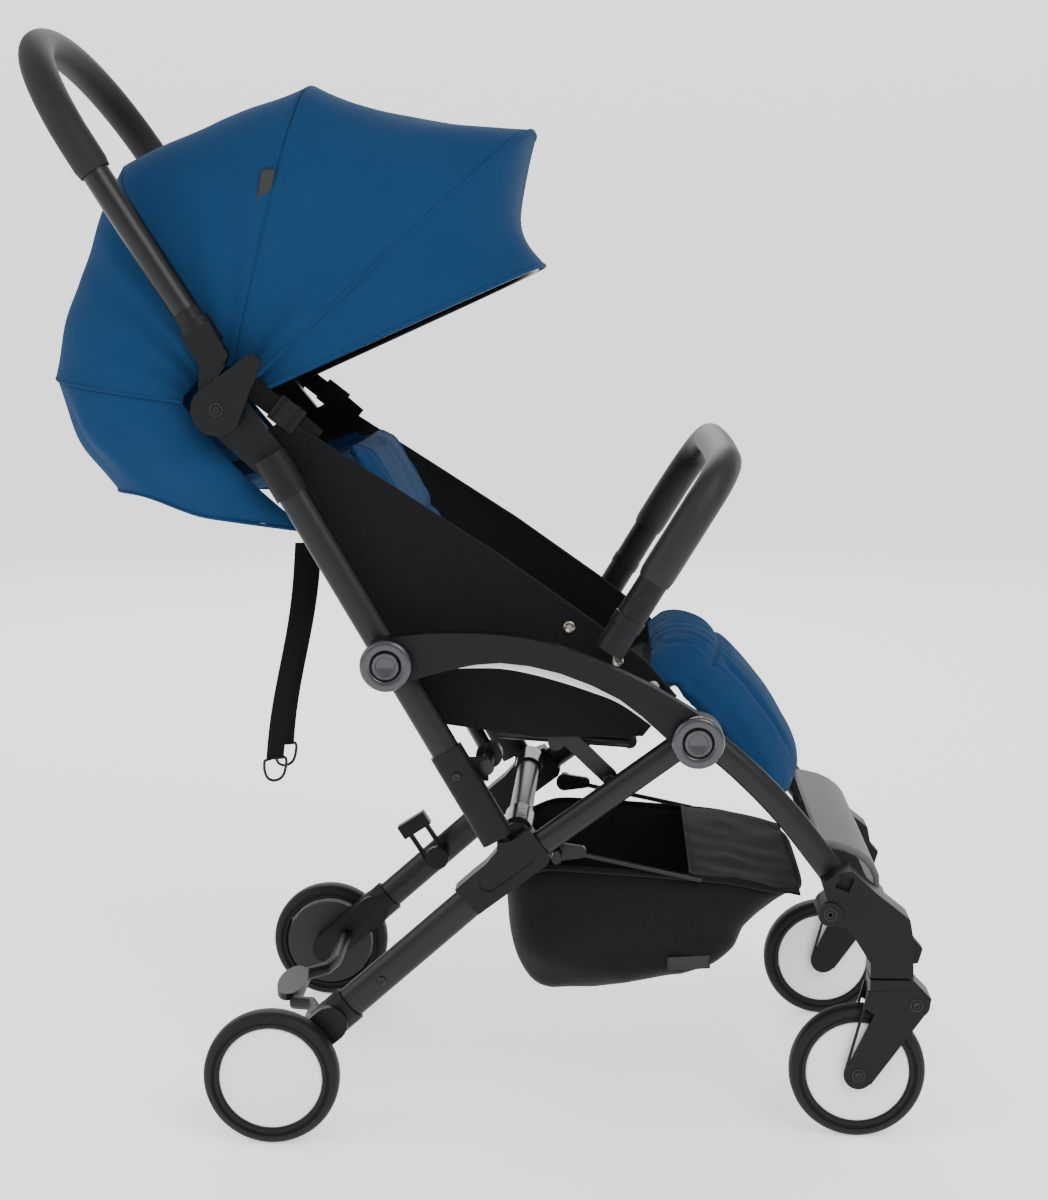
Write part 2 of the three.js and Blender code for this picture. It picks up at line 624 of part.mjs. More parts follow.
// a soft slab that follows a line in side view
function slab(points, thickness, halfWidth, steps) {
  const section = new THREE.Shape()
  const r = thickness / 2
  section.absarc(halfWidth - r, 0, r, -Math.PI / 2, Math.PI / 2, false)
  section.absarc(-halfWidth + r, 0, r, Math.PI / 2, Math.PI * 1.5, false)
  const middle = points.map(([x, z]) => new THREE.Vector3(x, 0, z))
  const extrudePath = new THREE.CatmullRomCurve3(middle, false, 'centripetal')
  return new THREE.ExtrudeGeometry(section, { extrudePath, steps, bevelEnabled: false, curveSegments: 4 })
}
const backBase = polar(reclinePivot, backLean - Math.PI / 2, 30)
const backAt = along => polar(backBase, backLean, along).toArray()
const backLine = [48, 160, 250, 330].map(backAt)
add('back_pad', slab(backLine, padThickness, seatHalfWidth - 2, 8), blueCloth)
const seatLine = [[206, 402], [260, 400], [330, 408], [372, 424]]
add('seat_pad', slab(seatLine, padThickness, seatHalfWidth, 8), blackCloth)
const calfRow = [[-50, 68.5], [-8, 64.5], [28, 38.5], [62, 0.5], [88, -43.5], [98, -81.5]]
const calfLine = calfRow.map(([x, z]) => [frontHub.x + x, frontHub.y + z])
add('calf_pad', slab(calfLine, 20, seatHalfWidth, 10), blueCloth)

// the side walls of the seat
const wingShape = [
  [18, 681], [215, 556], [303, 492], [366, 438], [378, 412],
  [345, 386], [225, 386], [192, 404], [120, 500], [8, 672],
]
for (const [suffix, side] of sides) {
  const shape = outline(wingShape.map(([x, z]) => point(x, z)))
  add(`side_wing_${suffix}`, sidePlate(shape, side, wingY, wingY + wingThickness), blackCloth)
}

// the two webbing straps that hang behind the backrest and set its recline
const strapTop = point(12, 553)
const strapLength = 226
const strapWidth = 20
for (const [suffix, side] of sides) {
  const shape = new THREE.Shape([
    point(-1, 0), point(1, 0), point(1, -strapLength), point(-1, -strapLength),
  ])
  const strap = plate(shape, side * 34 - strapWidth / 2, side * 34 + strapWidth / 2)
  strap.rotateY(THREE.MathUtils.degToRad(8)).translate(strapTop.x, 0, strapTop.y)
  add(`recline_strap_${suffix}`, strap, blackCloth)
}

// ---- basket ----
// an open bag: a rounded outline in side view, hollowed from the top
function basket() {
  const outer = [
    [214, 232], [222, 150], [236, 112], [262, 108], [330, 118], [381, 124],
    [440, 148], [478, 192], [508, 216], [500, 226], [440, 237], [330, 244],
  ]
  const inner = [
    [222, 262], [226, 152], [240, 115], [262, 111], [330, 121],
    [380, 127], [438, 151], [474, 193], [500, 219], [500, 262],
  ]
  const skin = plate(outline(outer.map(([x, z]) => point(x, z))), -basketHalfWidth, basketHalfWidth)
  const inside = basketHalfWidth - basketWall
  const room = plate(outline(inner.map(([x, z]) => point(x, z))), -inside, inside)
  return cut(skin, room)
}
add('basket', basket(), blackCloth)

// ---- canopy ----
// each bow is an arch over the seat, given by its angle about the hub and its reach
const bows = [
  { angle: 171, reach: 168 },
  { angle: 115, reach: 250 },
  { angle: 76.5, reach: 309 },
  { angle: 42.5, reach: 383 },
  { angle: 24.3, reach: 320 },
]
const bowRoot = 62
function bowPoint(bow, share, inset = 0) {
  const angle = THREE.MathUtils.degToRad(bow.angle)
  const turn = Math.PI * share
  const power = 0.55
  const across = Math.sign(Math.cos(turn)) * Math.abs(Math.cos(turn)) ** power * (canopyHalfWidth - inset)
  const reach = bowRoot + (bow.reach - inset - bowRoot) * Math.sin(turn) ** power
  const p = polar(canopyHub, angle, reach)
  return new THREE.Vector3(p.x, across, p.y)
}

// the fabric from one bow to the next, drawn in a little between them, with a real thickness
function canopyPanel(from, to, dip) {
  const rows = 3
  const columns = 14
  const gap = 0.6 // degrees left free at each bow
  const surface = inset => {
    const grid = []
    for (let i = 0; i <= rows; i++) {
      const v = i / rows
      const angle = THREE.MathUtils.lerp(from.angle - gap, to.angle + gap, v)
      const reach = THREE.MathUtils.lerp(from.reach, to.reach, v) - dip * Math.sin(Math.PI * v)
      const bow = { angle, reach }
      for (let j = 0; j <= columns; j++) grid.push(bowPoint(bow, j / columns, inset))
    }
    return grid
  }
  const grids = [surface(0), surface(canopySkin)]
  const vertices = grids.flat()
  const index = []
  const at = (layer, i, j) => layer * grids[0].length + i * (columns + 1) + j
  const quad = (a, b, c, d) => index.push(a, c, b, a, d, c)
  for (let i = 0; i < rows; i++) {
    for (let j = 0; j < columns; j++) {
      quad(at(0, i, j), at(0, i + 1, j), at(0, i + 1, j + 1), at(0, i, j + 1))
      quad(at(1, i, j), at(1, i, j + 1), at(1, i + 1, j + 1), at(1, i + 1, j))
    }
    quad(at(0, i, 0), at(1, i, 0), at(1, i + 1, 0), at(0, i + 1, 0))
    quad(at(0, i, columns), at(0, i + 1, columns), at(1, i + 1, columns), at(1, i, columns))
  }
  for (let j = 0; j < columns; j++) {
    quad(at(0, 0, j), at(0, 0, j + 1), at(1, 0, j + 1), at(1, 0, j))
    quad(at(0, rows, j), at(1, rows, j), at(1, rows, j + 1), at(0, rows, j + 1))
  }
  const geometry = new THREE.BufferGeometry()
  geometry.setAttribute('position', new THREE.Float32BufferAttribute(vertices.flatMap(p => p.toArray()), 3))
  geometry.setIndex(index)
  return geometry
}
const panelNames = ['canopy_rear', 'canopy_back', 'canopy_top', 'canopy_visor']
panelNames.forEach((name, i) => add(name, canopyPanel(bows[i], bows[i + 1], i === 3 ? 26 : 8), blueCloth))

// the moulded arm that turns the front bows about the hub
const armTip = point(-10.6, 737.5)
for (const [suffix, side] of sides) {
  const far = armNear + armPlate
  const arm = sidePlate(stadium(canopyHub, armTip, hubDiscRadius + 1, 8), side, armNear, far, 10)
  add(`canopy_arm_${suffix}`, cut(arm, pin(canopyHub, pinBore, side, armNear - 1, far + 1)), plastic)
}

// ---- place the whole: centred over the ground ----
const box = new THREE.Box3().setFromObject(stroller)
stroller.position.set(-(box.min.x + box.max.x) / 2, 0, -box.min.z)

export default stroller
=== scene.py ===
"""A compact folding baby stroller: black enamelled frame, white disc wheels, blue canopy and padding."""
import json
import math

import bmesh
import bpy
from mathutils import Matrix, Vector, noise


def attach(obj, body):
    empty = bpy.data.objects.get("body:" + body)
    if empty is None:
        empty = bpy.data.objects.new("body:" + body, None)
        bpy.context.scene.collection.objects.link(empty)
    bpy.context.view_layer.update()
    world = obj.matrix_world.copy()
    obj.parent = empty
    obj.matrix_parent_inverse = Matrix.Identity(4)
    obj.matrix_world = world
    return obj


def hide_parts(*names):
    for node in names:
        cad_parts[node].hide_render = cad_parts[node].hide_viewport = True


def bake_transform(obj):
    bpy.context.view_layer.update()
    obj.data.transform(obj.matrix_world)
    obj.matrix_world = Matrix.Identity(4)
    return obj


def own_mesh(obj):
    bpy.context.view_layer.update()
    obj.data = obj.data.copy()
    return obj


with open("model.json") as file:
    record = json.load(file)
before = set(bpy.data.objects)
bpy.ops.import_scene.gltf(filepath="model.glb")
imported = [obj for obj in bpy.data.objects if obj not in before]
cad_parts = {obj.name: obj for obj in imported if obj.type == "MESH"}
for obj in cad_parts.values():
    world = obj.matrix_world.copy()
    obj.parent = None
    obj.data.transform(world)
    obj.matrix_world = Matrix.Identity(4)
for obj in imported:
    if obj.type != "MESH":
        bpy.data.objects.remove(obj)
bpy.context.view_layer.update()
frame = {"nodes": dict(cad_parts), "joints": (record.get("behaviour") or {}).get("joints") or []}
joints = {joint["name"]: joint for joint in frame["joints"]}
SIDES = (("r", -1), ("l", 1))

# ---- Standing place, light and camera ----
# The stroller stands on a pale studio floor that curves up behind it, under large soft lamps.
# Places are in millimetres from the rear axle's middle, which the frame gives.
axle_x = joints["rear_wheel_spin_r"]["pos_m"][0]


def at(x, y, z):
    return Vector((axle_x + x / 1000, y / 1000, z / 1000))


def new_piece(name, bm, smooth=40):
    mesh = bpy.data.meshes.new(name)
    bm.normal_update()
    bm.to_mesh(mesh)
    bm.free()
    piece = bpy.data.objects.new(name, mesh)
    bpy.context.scene.collection.objects.link(piece)
    mesh.shade_smooth()
    mesh.set_sharp_from_angle(angle=math.radians(smooth))
    return piece


class Socket:
    """A shader value that adds its Math nodes as it is used in an expression."""

    def __init__(self, tree, output):
        self.tree, self.output = tree, output

    def math(self, operation, *values):
        node = self.tree.nodes.new("ShaderNodeMath")
        node.operation = operation
        for slot, value in zip(node.inputs, values):
            if isinstance(value, Socket):
                self.tree.links.new(value.output, slot)
            else:
                slot.default_value = value
        return Socket(self.tree, node.outputs[0])

    def __add__(self, other):
        return self.math("ADD", self, other)

    def __mul__(self, other):
        return self.math("MULTIPLY", self, other)

    __radd__ = __add__
    __rmul__ = __mul__


class Finish:
    """One material: its shader's fixed settings, and the nodes that vary it over the surface."""

    def __init__(self, name, color, roughness, **settings):
        self.material = bpy.data.materials.new(name)
        self.material.use_nodes = True
        self.tree = self.material.node_tree
        self.shader = self.tree.nodes["Principled BSDF"]
        self.shader.inputs["Base Color"].default_value = (*color, 1)
        self.shader.inputs["Roughness"].default_value = roughness
        for socket, value in settings.items():
            self.shader.inputs[socket.replace("_", " ")].default_value = value
        self.material.diffuse_color = (*color, 1)

    def node(self, kind, settings=None, output=0, **values):
        node = self.tree.nodes.new(kind)
        for key, value in (settings or {}).items():
            setattr(node, key, value)
        for key, value in values.items():
            slot = node.inputs[key.replace("_", " ")]
            if isinstance(value, Socket):
                self.tree.links.new(value.output, slot)
            else:
                slot.default_value = value
        return Socket(self.tree, node.outputs[output])

    def place(self, scale=(1, 1, 1), turn=(0, 0, 0)):
        """Object coordinates, stretched and turned about the object's origin."""
        here = self.node("ShaderNodeTexCoord", output="Object")
        return self.node("ShaderNodeMapping", Vector=here, Scale=scale, Rotation=turn)

    def noise(self, size, detail=2, place=None):
        place = place or self.place()
        return self.node("ShaderNodeTexNoise", Vector=place, Scale=1 / size, Detail=detail)

    def feed(self, socket, value):
        self.tree.links.new(value.output, self.shader.inputs[socket])

    def bump(self, height, distance, strength=1):
        bumped = self.node("ShaderNodeBump", Height=height, Distance=distance, Strength=strength)
        self.feed("Normal", bumped)

    def mottle(self, amount, low, high):
        """The colour drifts from low to high where amount goes from 0 to 1."""
        node = self.tree.nodes.new("ShaderNodeMix")
        node.data_type = "RGBA"
        self.tree.links.new(amount.output, node.inputs["Factor"])
        node.inputs[6].default_value = (*low, 1)
        node.inputs[7].default_value = (*high, 1)
        self.tree.links.new(node.outputs[2], self.shader.inputs["Base Color"])

    def on(self, *pieces):
        for piece in pieces:
            piece.data.materials.clear()
            piece.data.materials.append(self.material)


FLOOR_TONE = (0.86, 0.86, 0.865)
FLOOR_HALF = 50
FLOOR_BACK = 5
SWEEP_RADIUS = 3
studio = Finish("studio_paper", FLOOR_TONE, 0.9, Emission_Color=(1, 1, 1, 1), Emission_Strength=0.75)
bm = bmesh.new()
edge = [bm.verts.new((x, -FLOOR_HALF, 0)) for x in (-FLOOR_HALF, FLOOR_HALF)]
bmesh.ops.extrude_edge_only(bm, edges=[bm.edges.new(edge)])
bmesh.ops.translate(bm, verts=[v for v in bm.verts if v not in edge],
                    vec=(0, FLOOR_HALF + FLOOR_BACK, 0))
lip = [e for e in bm.edges if all(v.co.y > FLOOR_BACK - 1 for v in e.verts)]
bmesh.ops.spin(bm, geom=lip, cent=(0, FLOOR_BACK, SWEEP_RADIUS), axis=(1, 0, 0),
               angle=math.radians(85), steps=20)
floor = new_piece("studio_floor", bm, smooth=60)
studio.on(floor)

world = bpy.data.worlds.new("studio_world")
world.use_nodes = True
daylight = world.node_tree.nodes["Background"]
daylight.inputs["Color"].default_value = (0.93, 0.94, 0.96, 1)
daylight.inputs["Strength"].default_value = 1.0
bpy.context.scene.world = world


def lamp(name, place, target, size, power):
    light = bpy.data.lights.new(name, "AREA")
    light.size = size
    light.energy = power
    holder = bpy.data.objects.new(name, light)
    holder.location = place
    holder.rotation_euler = (Vector(target) - Vector(place)).to_track_quat("-Z", "Y").to_euler()
    bpy.context.scene.collection.objects.link(holder)


lamp("key_lamp", (1.6, -2.6, 3.0), (0, 0, 0.5), 2.2, 84)
lamp("fill_lamp", (-2.8, -1.6, 1.9), (0, 0, 0.5), 2.4, 36)
lamp("back_lamp", (-0.4, 3.0, 2.6), (0, 0, 0.7), 2.4, 60)

CAMERA_DOWN = 8.62
CAMERA_TURN = 2.476
camera_data = bpy.data.cameras.new("camera")
camera_data.sensor_fit = "HORIZONTAL"
camera_data.sensor_width = 36
camera_data.lens = 72.1
camera = bpy.data.objects.new("camera", camera_data)
camera.location = at(321.7, -2105.2, 810.7)
camera.rotation_euler = (math.radians(90 - CAMERA_DOWN), 0, math.radians(CAMERA_TURN))
bpy.context.scene.collection.objects.link(camera)
bpy.context.scene.camera = camera


# ---- Wheels ----
# Each wheel is a solid rubber tyre with a stepped sidewall, moulded on a plastic hub.
# The discs are white plastic; the rear hubs show their black ribbed inner side.
WHEEL_RADIUS = 65
REAR_TRACK = abs(joints["rear_wheel_spin_r"]["pos_m"][1]) * 1000
FRONT_TRACK = abs(joints["front_wheel_spin_r"]["pos_m"][1]) * 1000
WHEEL_BASE = (joints["front_wheel_spin_r"]["pos_m"][0] - axle_x) * 1000


def spun(name, profile, centre, axis=(0, 1, 0), steps=96):
    """A profile of (radius, along) turned about an axis through centre, closed into a solid."""
    bm = bmesh.new()
    turn = Vector((0, 1, 0)).rotation_difference(Vector(axis)).to_matrix().to_4x4()
    verts = [bm.verts.new((r / 1000, y / 1000, 0)) for r, y in profile]
    edges = [bm.edges.new(pair) for pair in zip(verts, verts[1:])]
    if profile[0][0] > 0:
        edges.append(bm.edges.new((verts[-1], verts[0])))
    bmesh.ops.spin(bm, geom=verts + edges, cent=(0, 0, 0), axis=(0, 1, 0), angle=math.tau,
                   steps=steps, use_merge=True)
    bmesh.ops.remove_doubles(bm, verts=bm.verts, dist=1e-6)
    bmesh.ops.recalc_face_normals(bm, faces=bm.faces)
    bmesh.ops.transform(bm, matrix=Matrix.Translation(centre) @ turn, verts=bm.verts)
    return new_piece(name, bm)


tyre_rubber = Finish("tyre_rubber", (0.0055, 0.0055, 0.006), 0.55, Specular_IOR_Level=0.22)
tyre_rubber.bump(tyre_rubber.noise(0.0012, 3), 0.0002)
disc_white = Finish("disc_white", (0.86, 0.86, 0.85), 0.34, Coat_Weight=0.15, Coat_Roughness=0.2)
disc_white.bump(disc_white.noise(0.03, 2), 0.0002, 0.3)
hub_black = Finish("hub_black", (0.013, 0.013, 0.0145), 0.42, Specular_IOR_Level=0.3)
hub_black.bump(hub_black.noise(0.0008, 2), 0.0001)

TYRE_PROFILE = [
    (50, -9.6), (50.8, -10.8), (53.4, -11.2), (54.4, -10.2), (55.6, -10.2), (56.4, -12), (58.6, -11.8),
    (61.4, -10.6), (63.6, -8.4), (64.7, -5), (65, 0), (64.7, 5), (63.6, 8.4), (61.4, 10.6), (58.6, 11.8),
    (56.4, 12), (55.6, 10.2), (54.4, 10.2), (53.4, 11.2), (50.8, 10.8), (50, 9.6),
]
HUB_RADIUS = 47.6
SLOT_INNER, SLOT_OUTER = 31, 41
HUB_DOME = [(1, 1.6), (6, 0.6), (2, 4), (5, 3), (5, 1.4)]
DISC_PROFILE = [(0, 8.8), (20, 8.9), (42, 8.6), (48.3, 8.2), (49.1, 7.4), (49.1, 4), (0, 4)]
RING_PROFILE = [
    (49.2, 3), (49.2, 8.2), (49.4, 9), (49.6, 9.4), (49.8, 9), (49.8, -9), (49.6, -9.4), (49.4, -9),
    (49.2, -8.2), (49.2, -3),
]


def slotted_hub(name, centre, inward):
    """The black hub seen from inside: a dished ring of slots round a domed middle."""
    bm = bmesh.new()
    bmesh.ops.create_circle(bm, cap_ends=True, segments=72, radius=HUB_RADIUS / 1000)
    face = bm.faces[:][0]
    for step, sink in ((4, 0), (1.2, -3)):
        bmesh.ops.inset_region(bm, faces=[face], thickness=step / 1000, depth=sink / 1000)
    bmesh.ops.inset_region(bm, faces=[face], thickness=0.0125, depth=0)
    slots = [f for f in bm.faces
             if SLOT_INNER / 1000 < f.calc_center_median().to_2d().length < SLOT_OUTER / 1000]
    slots.sort(key=lambda f: math.atan2(*f.calc_center_median().to_2d()))
    bmesh.ops.inset_individual(bm, faces=slots[::2], thickness=0.0007, depth=0)
    bmesh.ops.inset_individual(bm, faces=slots[::2], thickness=0.0001, depth=-0.005)
    for step, sink in HUB_DOME:
        bmesh.ops.inset_region(bm, faces=[face], thickness=step / 1000, depth=sink / 1000)
    turn = Matrix.Rotation(math.radians(-90 * inward), 4, "X")
    bmesh.ops.transform(bm, matrix=Matrix.Translation(centre) @ turn, verts=bm.verts)
    return new_piece(name, bm, 35)


def wheel(end, suffix, side, x, track):
    centre = at(x, side * track, WHEEL_RADIUS)
    body = f"{end}_wheel_{suffix}"
    tread = spun(f"{end}_wheel_tyre_{suffix}", TYRE_PROFILE, centre)
    tyre_rubber.on(tread)
    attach(tread, body)
    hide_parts(f"{end}_tyre_{suffix}")
    for out in (side, -side):
        face = "outer" if out == side else "inner"
        if end == "rear" and face == "inner":
            hub = slotted_hub(f"rear_wheel_hub_{suffix}", centre + Vector((0, out * 0.0075, 0)), out)
            hub_black.on(hub)
        else:
            hub = spun(f"{end}_wheel_disc_{face}_{suffix}", DISC_PROFILE, centre, (0, out, 0))
            disc_white.on(hub)
            if face == "outer":
                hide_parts(f"{end}_rim_{suffix}")
        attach(hub, body)
    rim = spun(f"{end}_wheel_rim_{suffix}", RING_PROFILE, centre)
    hub_black.on(rim)
    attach(rim, body)


for suffix, side in SIDES:
    wheel("rear", suffix, side, 0, REAR_TRACK)
    wheel("front", suffix, side, WHEEL_BASE, FRONT_TRACK)


# ---- Frame tubes ----
# Oval steel tubes bent to shape, with a satin black enamel baked over a fine orange-peel.
# The rear legs plug into clamps and wheel housings; the front legs hang from the front hubs.
enamel = Finish("black_enamel", (0.0042, 0.0044, 0.0049), 0.34, Specular_IOR_Level=0.3)
enamel.bump(enamel.noise(0.0011, 2), 0.00006)


STEPS_BETWEEN = 14


def smooth_line(points, count):
    """Points spread evenly along a curve that passes smoothly through the given ones."""
    ends = [points[0] * 2 - points[1], *points, points[-1] * 2 - points[-2]]
    fine = []
    for quad in zip(ends, ends[1:], ends[2:], ends[3:]):
        knots = [0]
        for a, b in zip(quad, quad[1:]):
            knots.append(knots[-1] + (b - a).length ** 0.5)

        def between(a, b, start, stop):
            return a.lerp(b, (t - knots[start]) / (knots[stop] - knots[start]))

        for i in range(STEPS_BETWEEN):
            t = knots[1] + (knots[2] - knots[1]) * i / STEPS_BETWEEN
            first = [between(quad[k], quad[k + 1], k, k + 1) for k in range(3)]
            second = [between(first[k], first[k + 1], k, k + 2) for k in range(2)]
            fine.append(between(*second, 1, 2))
    fine.append(points[-1].copy())
    lengths = [0]
    for a, b in zip(fine, fine[1:]):
        lengths.append(lengths[-1] + (b - a).length)
    line, k = [], 0
    for i in range(count):
        want = lengths[-1] * i / (count - 1)
        while k < len(fine) - 2 and lengths[k + 1] < want:
            k += 1
        share = (want - lengths[k]) / max(lengths[k + 1] - lengths[k], 1e-9)
        line.append(fine[k].lerp(fine[k + 1], share))
    return line


def swept(name, line, width, height, sides=28, flat=(0, 1, 0), rounded=1.0):
    """A bar of oval section along a line: width lies along `flat`, height beside it.

    Below 1, rounded squares the oval off towards a rectangle with soft corners.
    """
    bm = bmesh.new()
    flat = Vector(flat)
    rings = []
    for i, p in enumerate(line):
        along = (line[min(i + 1, len(line) - 1)] - line[max(i - 1, 0)]).normalized()
        up = along.cross(flat).normalized()
        across = up.cross(along).normalized()
        w = width(i / (len(line) - 1)) if callable(width) else width
        h = height(i / (len(line) - 1)) if callable(height) else height
        spot = Matrix((across, up, along)).transposed().to_4x4()
        spot.translation = p
        made = bmesh.ops.create_circle(bm, segments=sides, radius=1)["verts"]
        for v in made:
            x, y, grow = v.co.x, v.co.y, 1
            if rounded < 1:
                grow = (abs(x) ** (2 / rounded) + abs(y) ** (2 / rounded)) ** (-rounded / 2)
            v.co = Vector((x * grow * w / 2000, y * grow * h / 2000, 0))
        bmesh.ops.transform(bm, matrix=spot, verts=made)
        rings.append(made)
    for a, b in zip(rings, rings[1:]):
        loop = [e for e in bm.edges if all(v in set(a) | set(b) for v in e.verts)]
        bmesh.ops.bridge_loops(bm, edges=loop)
    for ring in (rings[0], rings[-1]):
        bm.faces.new(ring)
    bmesh.ops.recalc_face_normals(bm, faces=bm.faces)
    return new_piece(name, bm, 50)


SHARP_EDGE = 38


def softened(node, body, finish, edge, name=None):
    """The CAD piece with its edges rounded a little, as a moulding's are."""
    bm = bmesh.new()
    bm.from_mesh(frame["nodes"][node].data)
    bmesh.ops.transform(bm, matrix=frame["nodes"][node].matrix_world, verts=bm.verts)
    bmesh.ops.remove_doubles(bm, verts=bm.verts, dist=2e-6)
    bmesh.ops.dissolve_limit(bm, angle_limit=math.radians(1), verts=bm.verts, edges=bm.edges)
    if bm.calc_volume(signed=True) < 0:
        bmesh.ops.reverse_faces(bm, faces=bm.faces)
    piece = new_piece(name or f"{node}_shell", bm, SHARP_EDGE)
    bevel = piece.modifiers.new("edge", "BEVEL")
    bevel.width = edge / 1000
    bevel.segments = 3
    bevel.limit_method = "ANGLE"
    bevel.angle_limit = math.radians(SHARP_EDGE)
    bevel.use_clamp_overlap = True
    bevel.harden_normals = False
    finish.on(piece)
    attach(piece, body)
    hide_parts(node)
    return piece


bpy.context.view_layer.update()
FRONT_HUB = at(400, 0, 393.5)
REAR_HUB = at(113.3, 0, 462.7)
CLAMP = at(223.3, 0, 262.8)
REAR_FOOT = at(56.7, 0, 113.1)
TUBE_Y = 0.180
TUBE_WIDTH = 18
UPPER_TUBE_HEIGHT, LOWER_TUBE_HEIGHT = 25, 31
LEG_Y = 158
LEG_BENDS = [(400, 393.5), (450.4, 349.6), (489.8, 308.3), (534.5, 250.7)]
LEG_WIDTH, LEG_HEIGHT = 17, 26
CROSSBAR_X, CROSSBAR_Z = 231, 291
CROSSBAR_HALF = 167.5
CROSSBAR_ROUND, SLEEVE_ROUND = 23, 29


def beside(p, y):
    return Vector((p.x, y, p.z))


def dressed(piece, body, slot, finish, *nodes):
    finish.on(piece)
    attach(piece, body)
    if nodes:
        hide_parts(*nodes)
    return piece


for suffix, side in SIDES:
    y = side * TUBE_Y
    top, middle, foot = (beside(p, y) for p in (FRONT_HUB, CLAMP, REAR_FOOT))
    upper = swept(f"rear_tube_upper_{suffix}", [top, middle], TUBE_WIDTH, UPPER_TUBE_HEIGHT)
    dressed(upper, "rear_frame", "paint", enamel)
    lower = swept(f"rear_tube_lower_{suffix}", [middle.lerp(top, 0.06), foot], TUBE_WIDTH,
                  LOWER_TUBE_HEIGHT)
    dressed(lower, "rear_frame", "paint", enamel, f"rear_tube_{suffix}")
    leg_line = smooth_line([at(x, side * LEG_Y, z) for x, z in LEG_BENDS], 18)
    leg = swept(f"front_leg_tube_{suffix}", leg_line, LEG_WIDTH, LEG_HEIGHT)
    dressed(leg, "front_legs", "paint", enamel, f"front_tube_{suffix}")


def crossbar_piece(name, start, end, girth):
    """A round length of the cross tube, or of what is pushed over it, from start to end across."""
    line = [at(CROSSBAR_X, y, CROSSBAR_Z) for y in (start, end)]
    return swept(name, line, girth, girth, flat=(1, 0, 0))


crossbar = crossbar_piece("crossbar_tube", -CROSSBAR_HALF, CROSSBAR_HALF, CROSSBAR_ROUND)
dressed(crossbar, "rear_frame", "gloss", enamel, "crossbar")

clear_sleeve = Finish("clear_sleeve", (0.008, 0.0085, 0.0095), 0.2, Specular_IOR_Level=0.3)
clear_sleeve.bump(clear_sleeve.noise(0.02, 2), 0.0003)
for suffix, side in SIDES:
    sleeve = crossbar_piece(f"crossbar_sleeve_{suffix}", side * 100, side * 155, SLEEVE_ROUND)
    dressed(sleeve, "rear_frame", "gloss", clear_sleeve)

# ---- Mouldings of the frame ----
# Injected black nylon with a fine grain: the clamps, wheel housings, hinge knuckles, armrests and
# caster brackets. Each is moulded round the tube that it holds, and its edges are a little soft.
nylon = Finish("black_nylon", (0.0048, 0.005, 0.0055), 0.46, Specular_IOR_Level=0.19)
nylon.bump(nylon.noise(0.0007, 3), 0.00009)
for suffix, side in SIDES:
    softened(f"connector_{suffix}", "rear_frame", nylon, 1.6)
    softened(f"axle_housing_{suffix}", "rear_frame", nylon, 2)
    softened(f"armrest_{suffix}", "arms", nylon, 2.2)
    softened(f"hinge_socket_{suffix}", "push_frame", nylon, 1.5)
    softened(f"canopy_arm_{suffix}", "bow_front", nylon, 1.4)
    softened(f"front_bracket_{suffix}", "front_legs", nylon, 1.6)
    softened(f"swivel_lock_{suffix}", f"swivel_lock_{suffix}", nylon, 1)
    softened(f"caster_fork_{suffix}", f"caster_{suffix}", nylon, 1.2)
    softened(f"bumper_button_{suffix}", f"bumper_button_{suffix}", nylon, 0.6)
softened("fold_latch", "latch", nylon, 1)
softened("seat_frame", "rear_frame", enamel, 0.6)
softened("brake_bar", "brake", nylon, 0.8)
softened("back_frame", "backrest", enamel, 0.5)

# ---- Armrest highlight ----
# A painted highlight: a white strip under each armrest that stands in for the light caught
# on its curved lower edge, thickest at the middle of the curve.
HIGHLIGHT_TOP = [
    (162, 456.5), (190, 461), (218, 463.6), (246, 460.6), (273, 454.2), (301, 443.4), (328, 430.2),
    (367, 398),
]
HIGHLIGHT_DEEP = [0.6, 5, 8.4, 9.4, 9.4, 8, 5.5, 0.6]
HIGHLIGHT_Y = 192.5
HIGHLIGHT_WIDTH = 5
HIGHLIGHT_STEPS = 40
# This white is a painted highlight, not a colour of the armrest.
painted_highlight = Finish("painted_highlight", (0.8, 0.8, 0.795), 0.4)
painted_highlight.bump(painted_highlight.noise(0.02, 2), 0.0001)
for suffix, side in SIDES:
    middles = [at(x, side * HIGHLIGHT_Y, z - d / 2) for (x, z), d in zip(HIGHLIGHT_TOP, HIGHLIGHT_DEEP)]
    highlight_line = smooth_line(middles, HIGHLIGHT_STEPS)
    deep = smooth_line([Vector((k, 0, d)) for k, d in enumerate(HIGHLIGHT_DEEP)], HIGHLIGHT_STEPS)
    # The white strip is painted light: the highlight along the armrest's lower edge.
    trim = swept(f"armrest_painted_highlight_{suffix}", highlight_line, HIGHLIGHT_WIDTH,
                 lambda t: deep[round(t * (HIGHLIGHT_STEPS - 1))].z + 1.2, 24, rounded=0.45)
    dressed(trim, "arms", "white", painted_highlight)

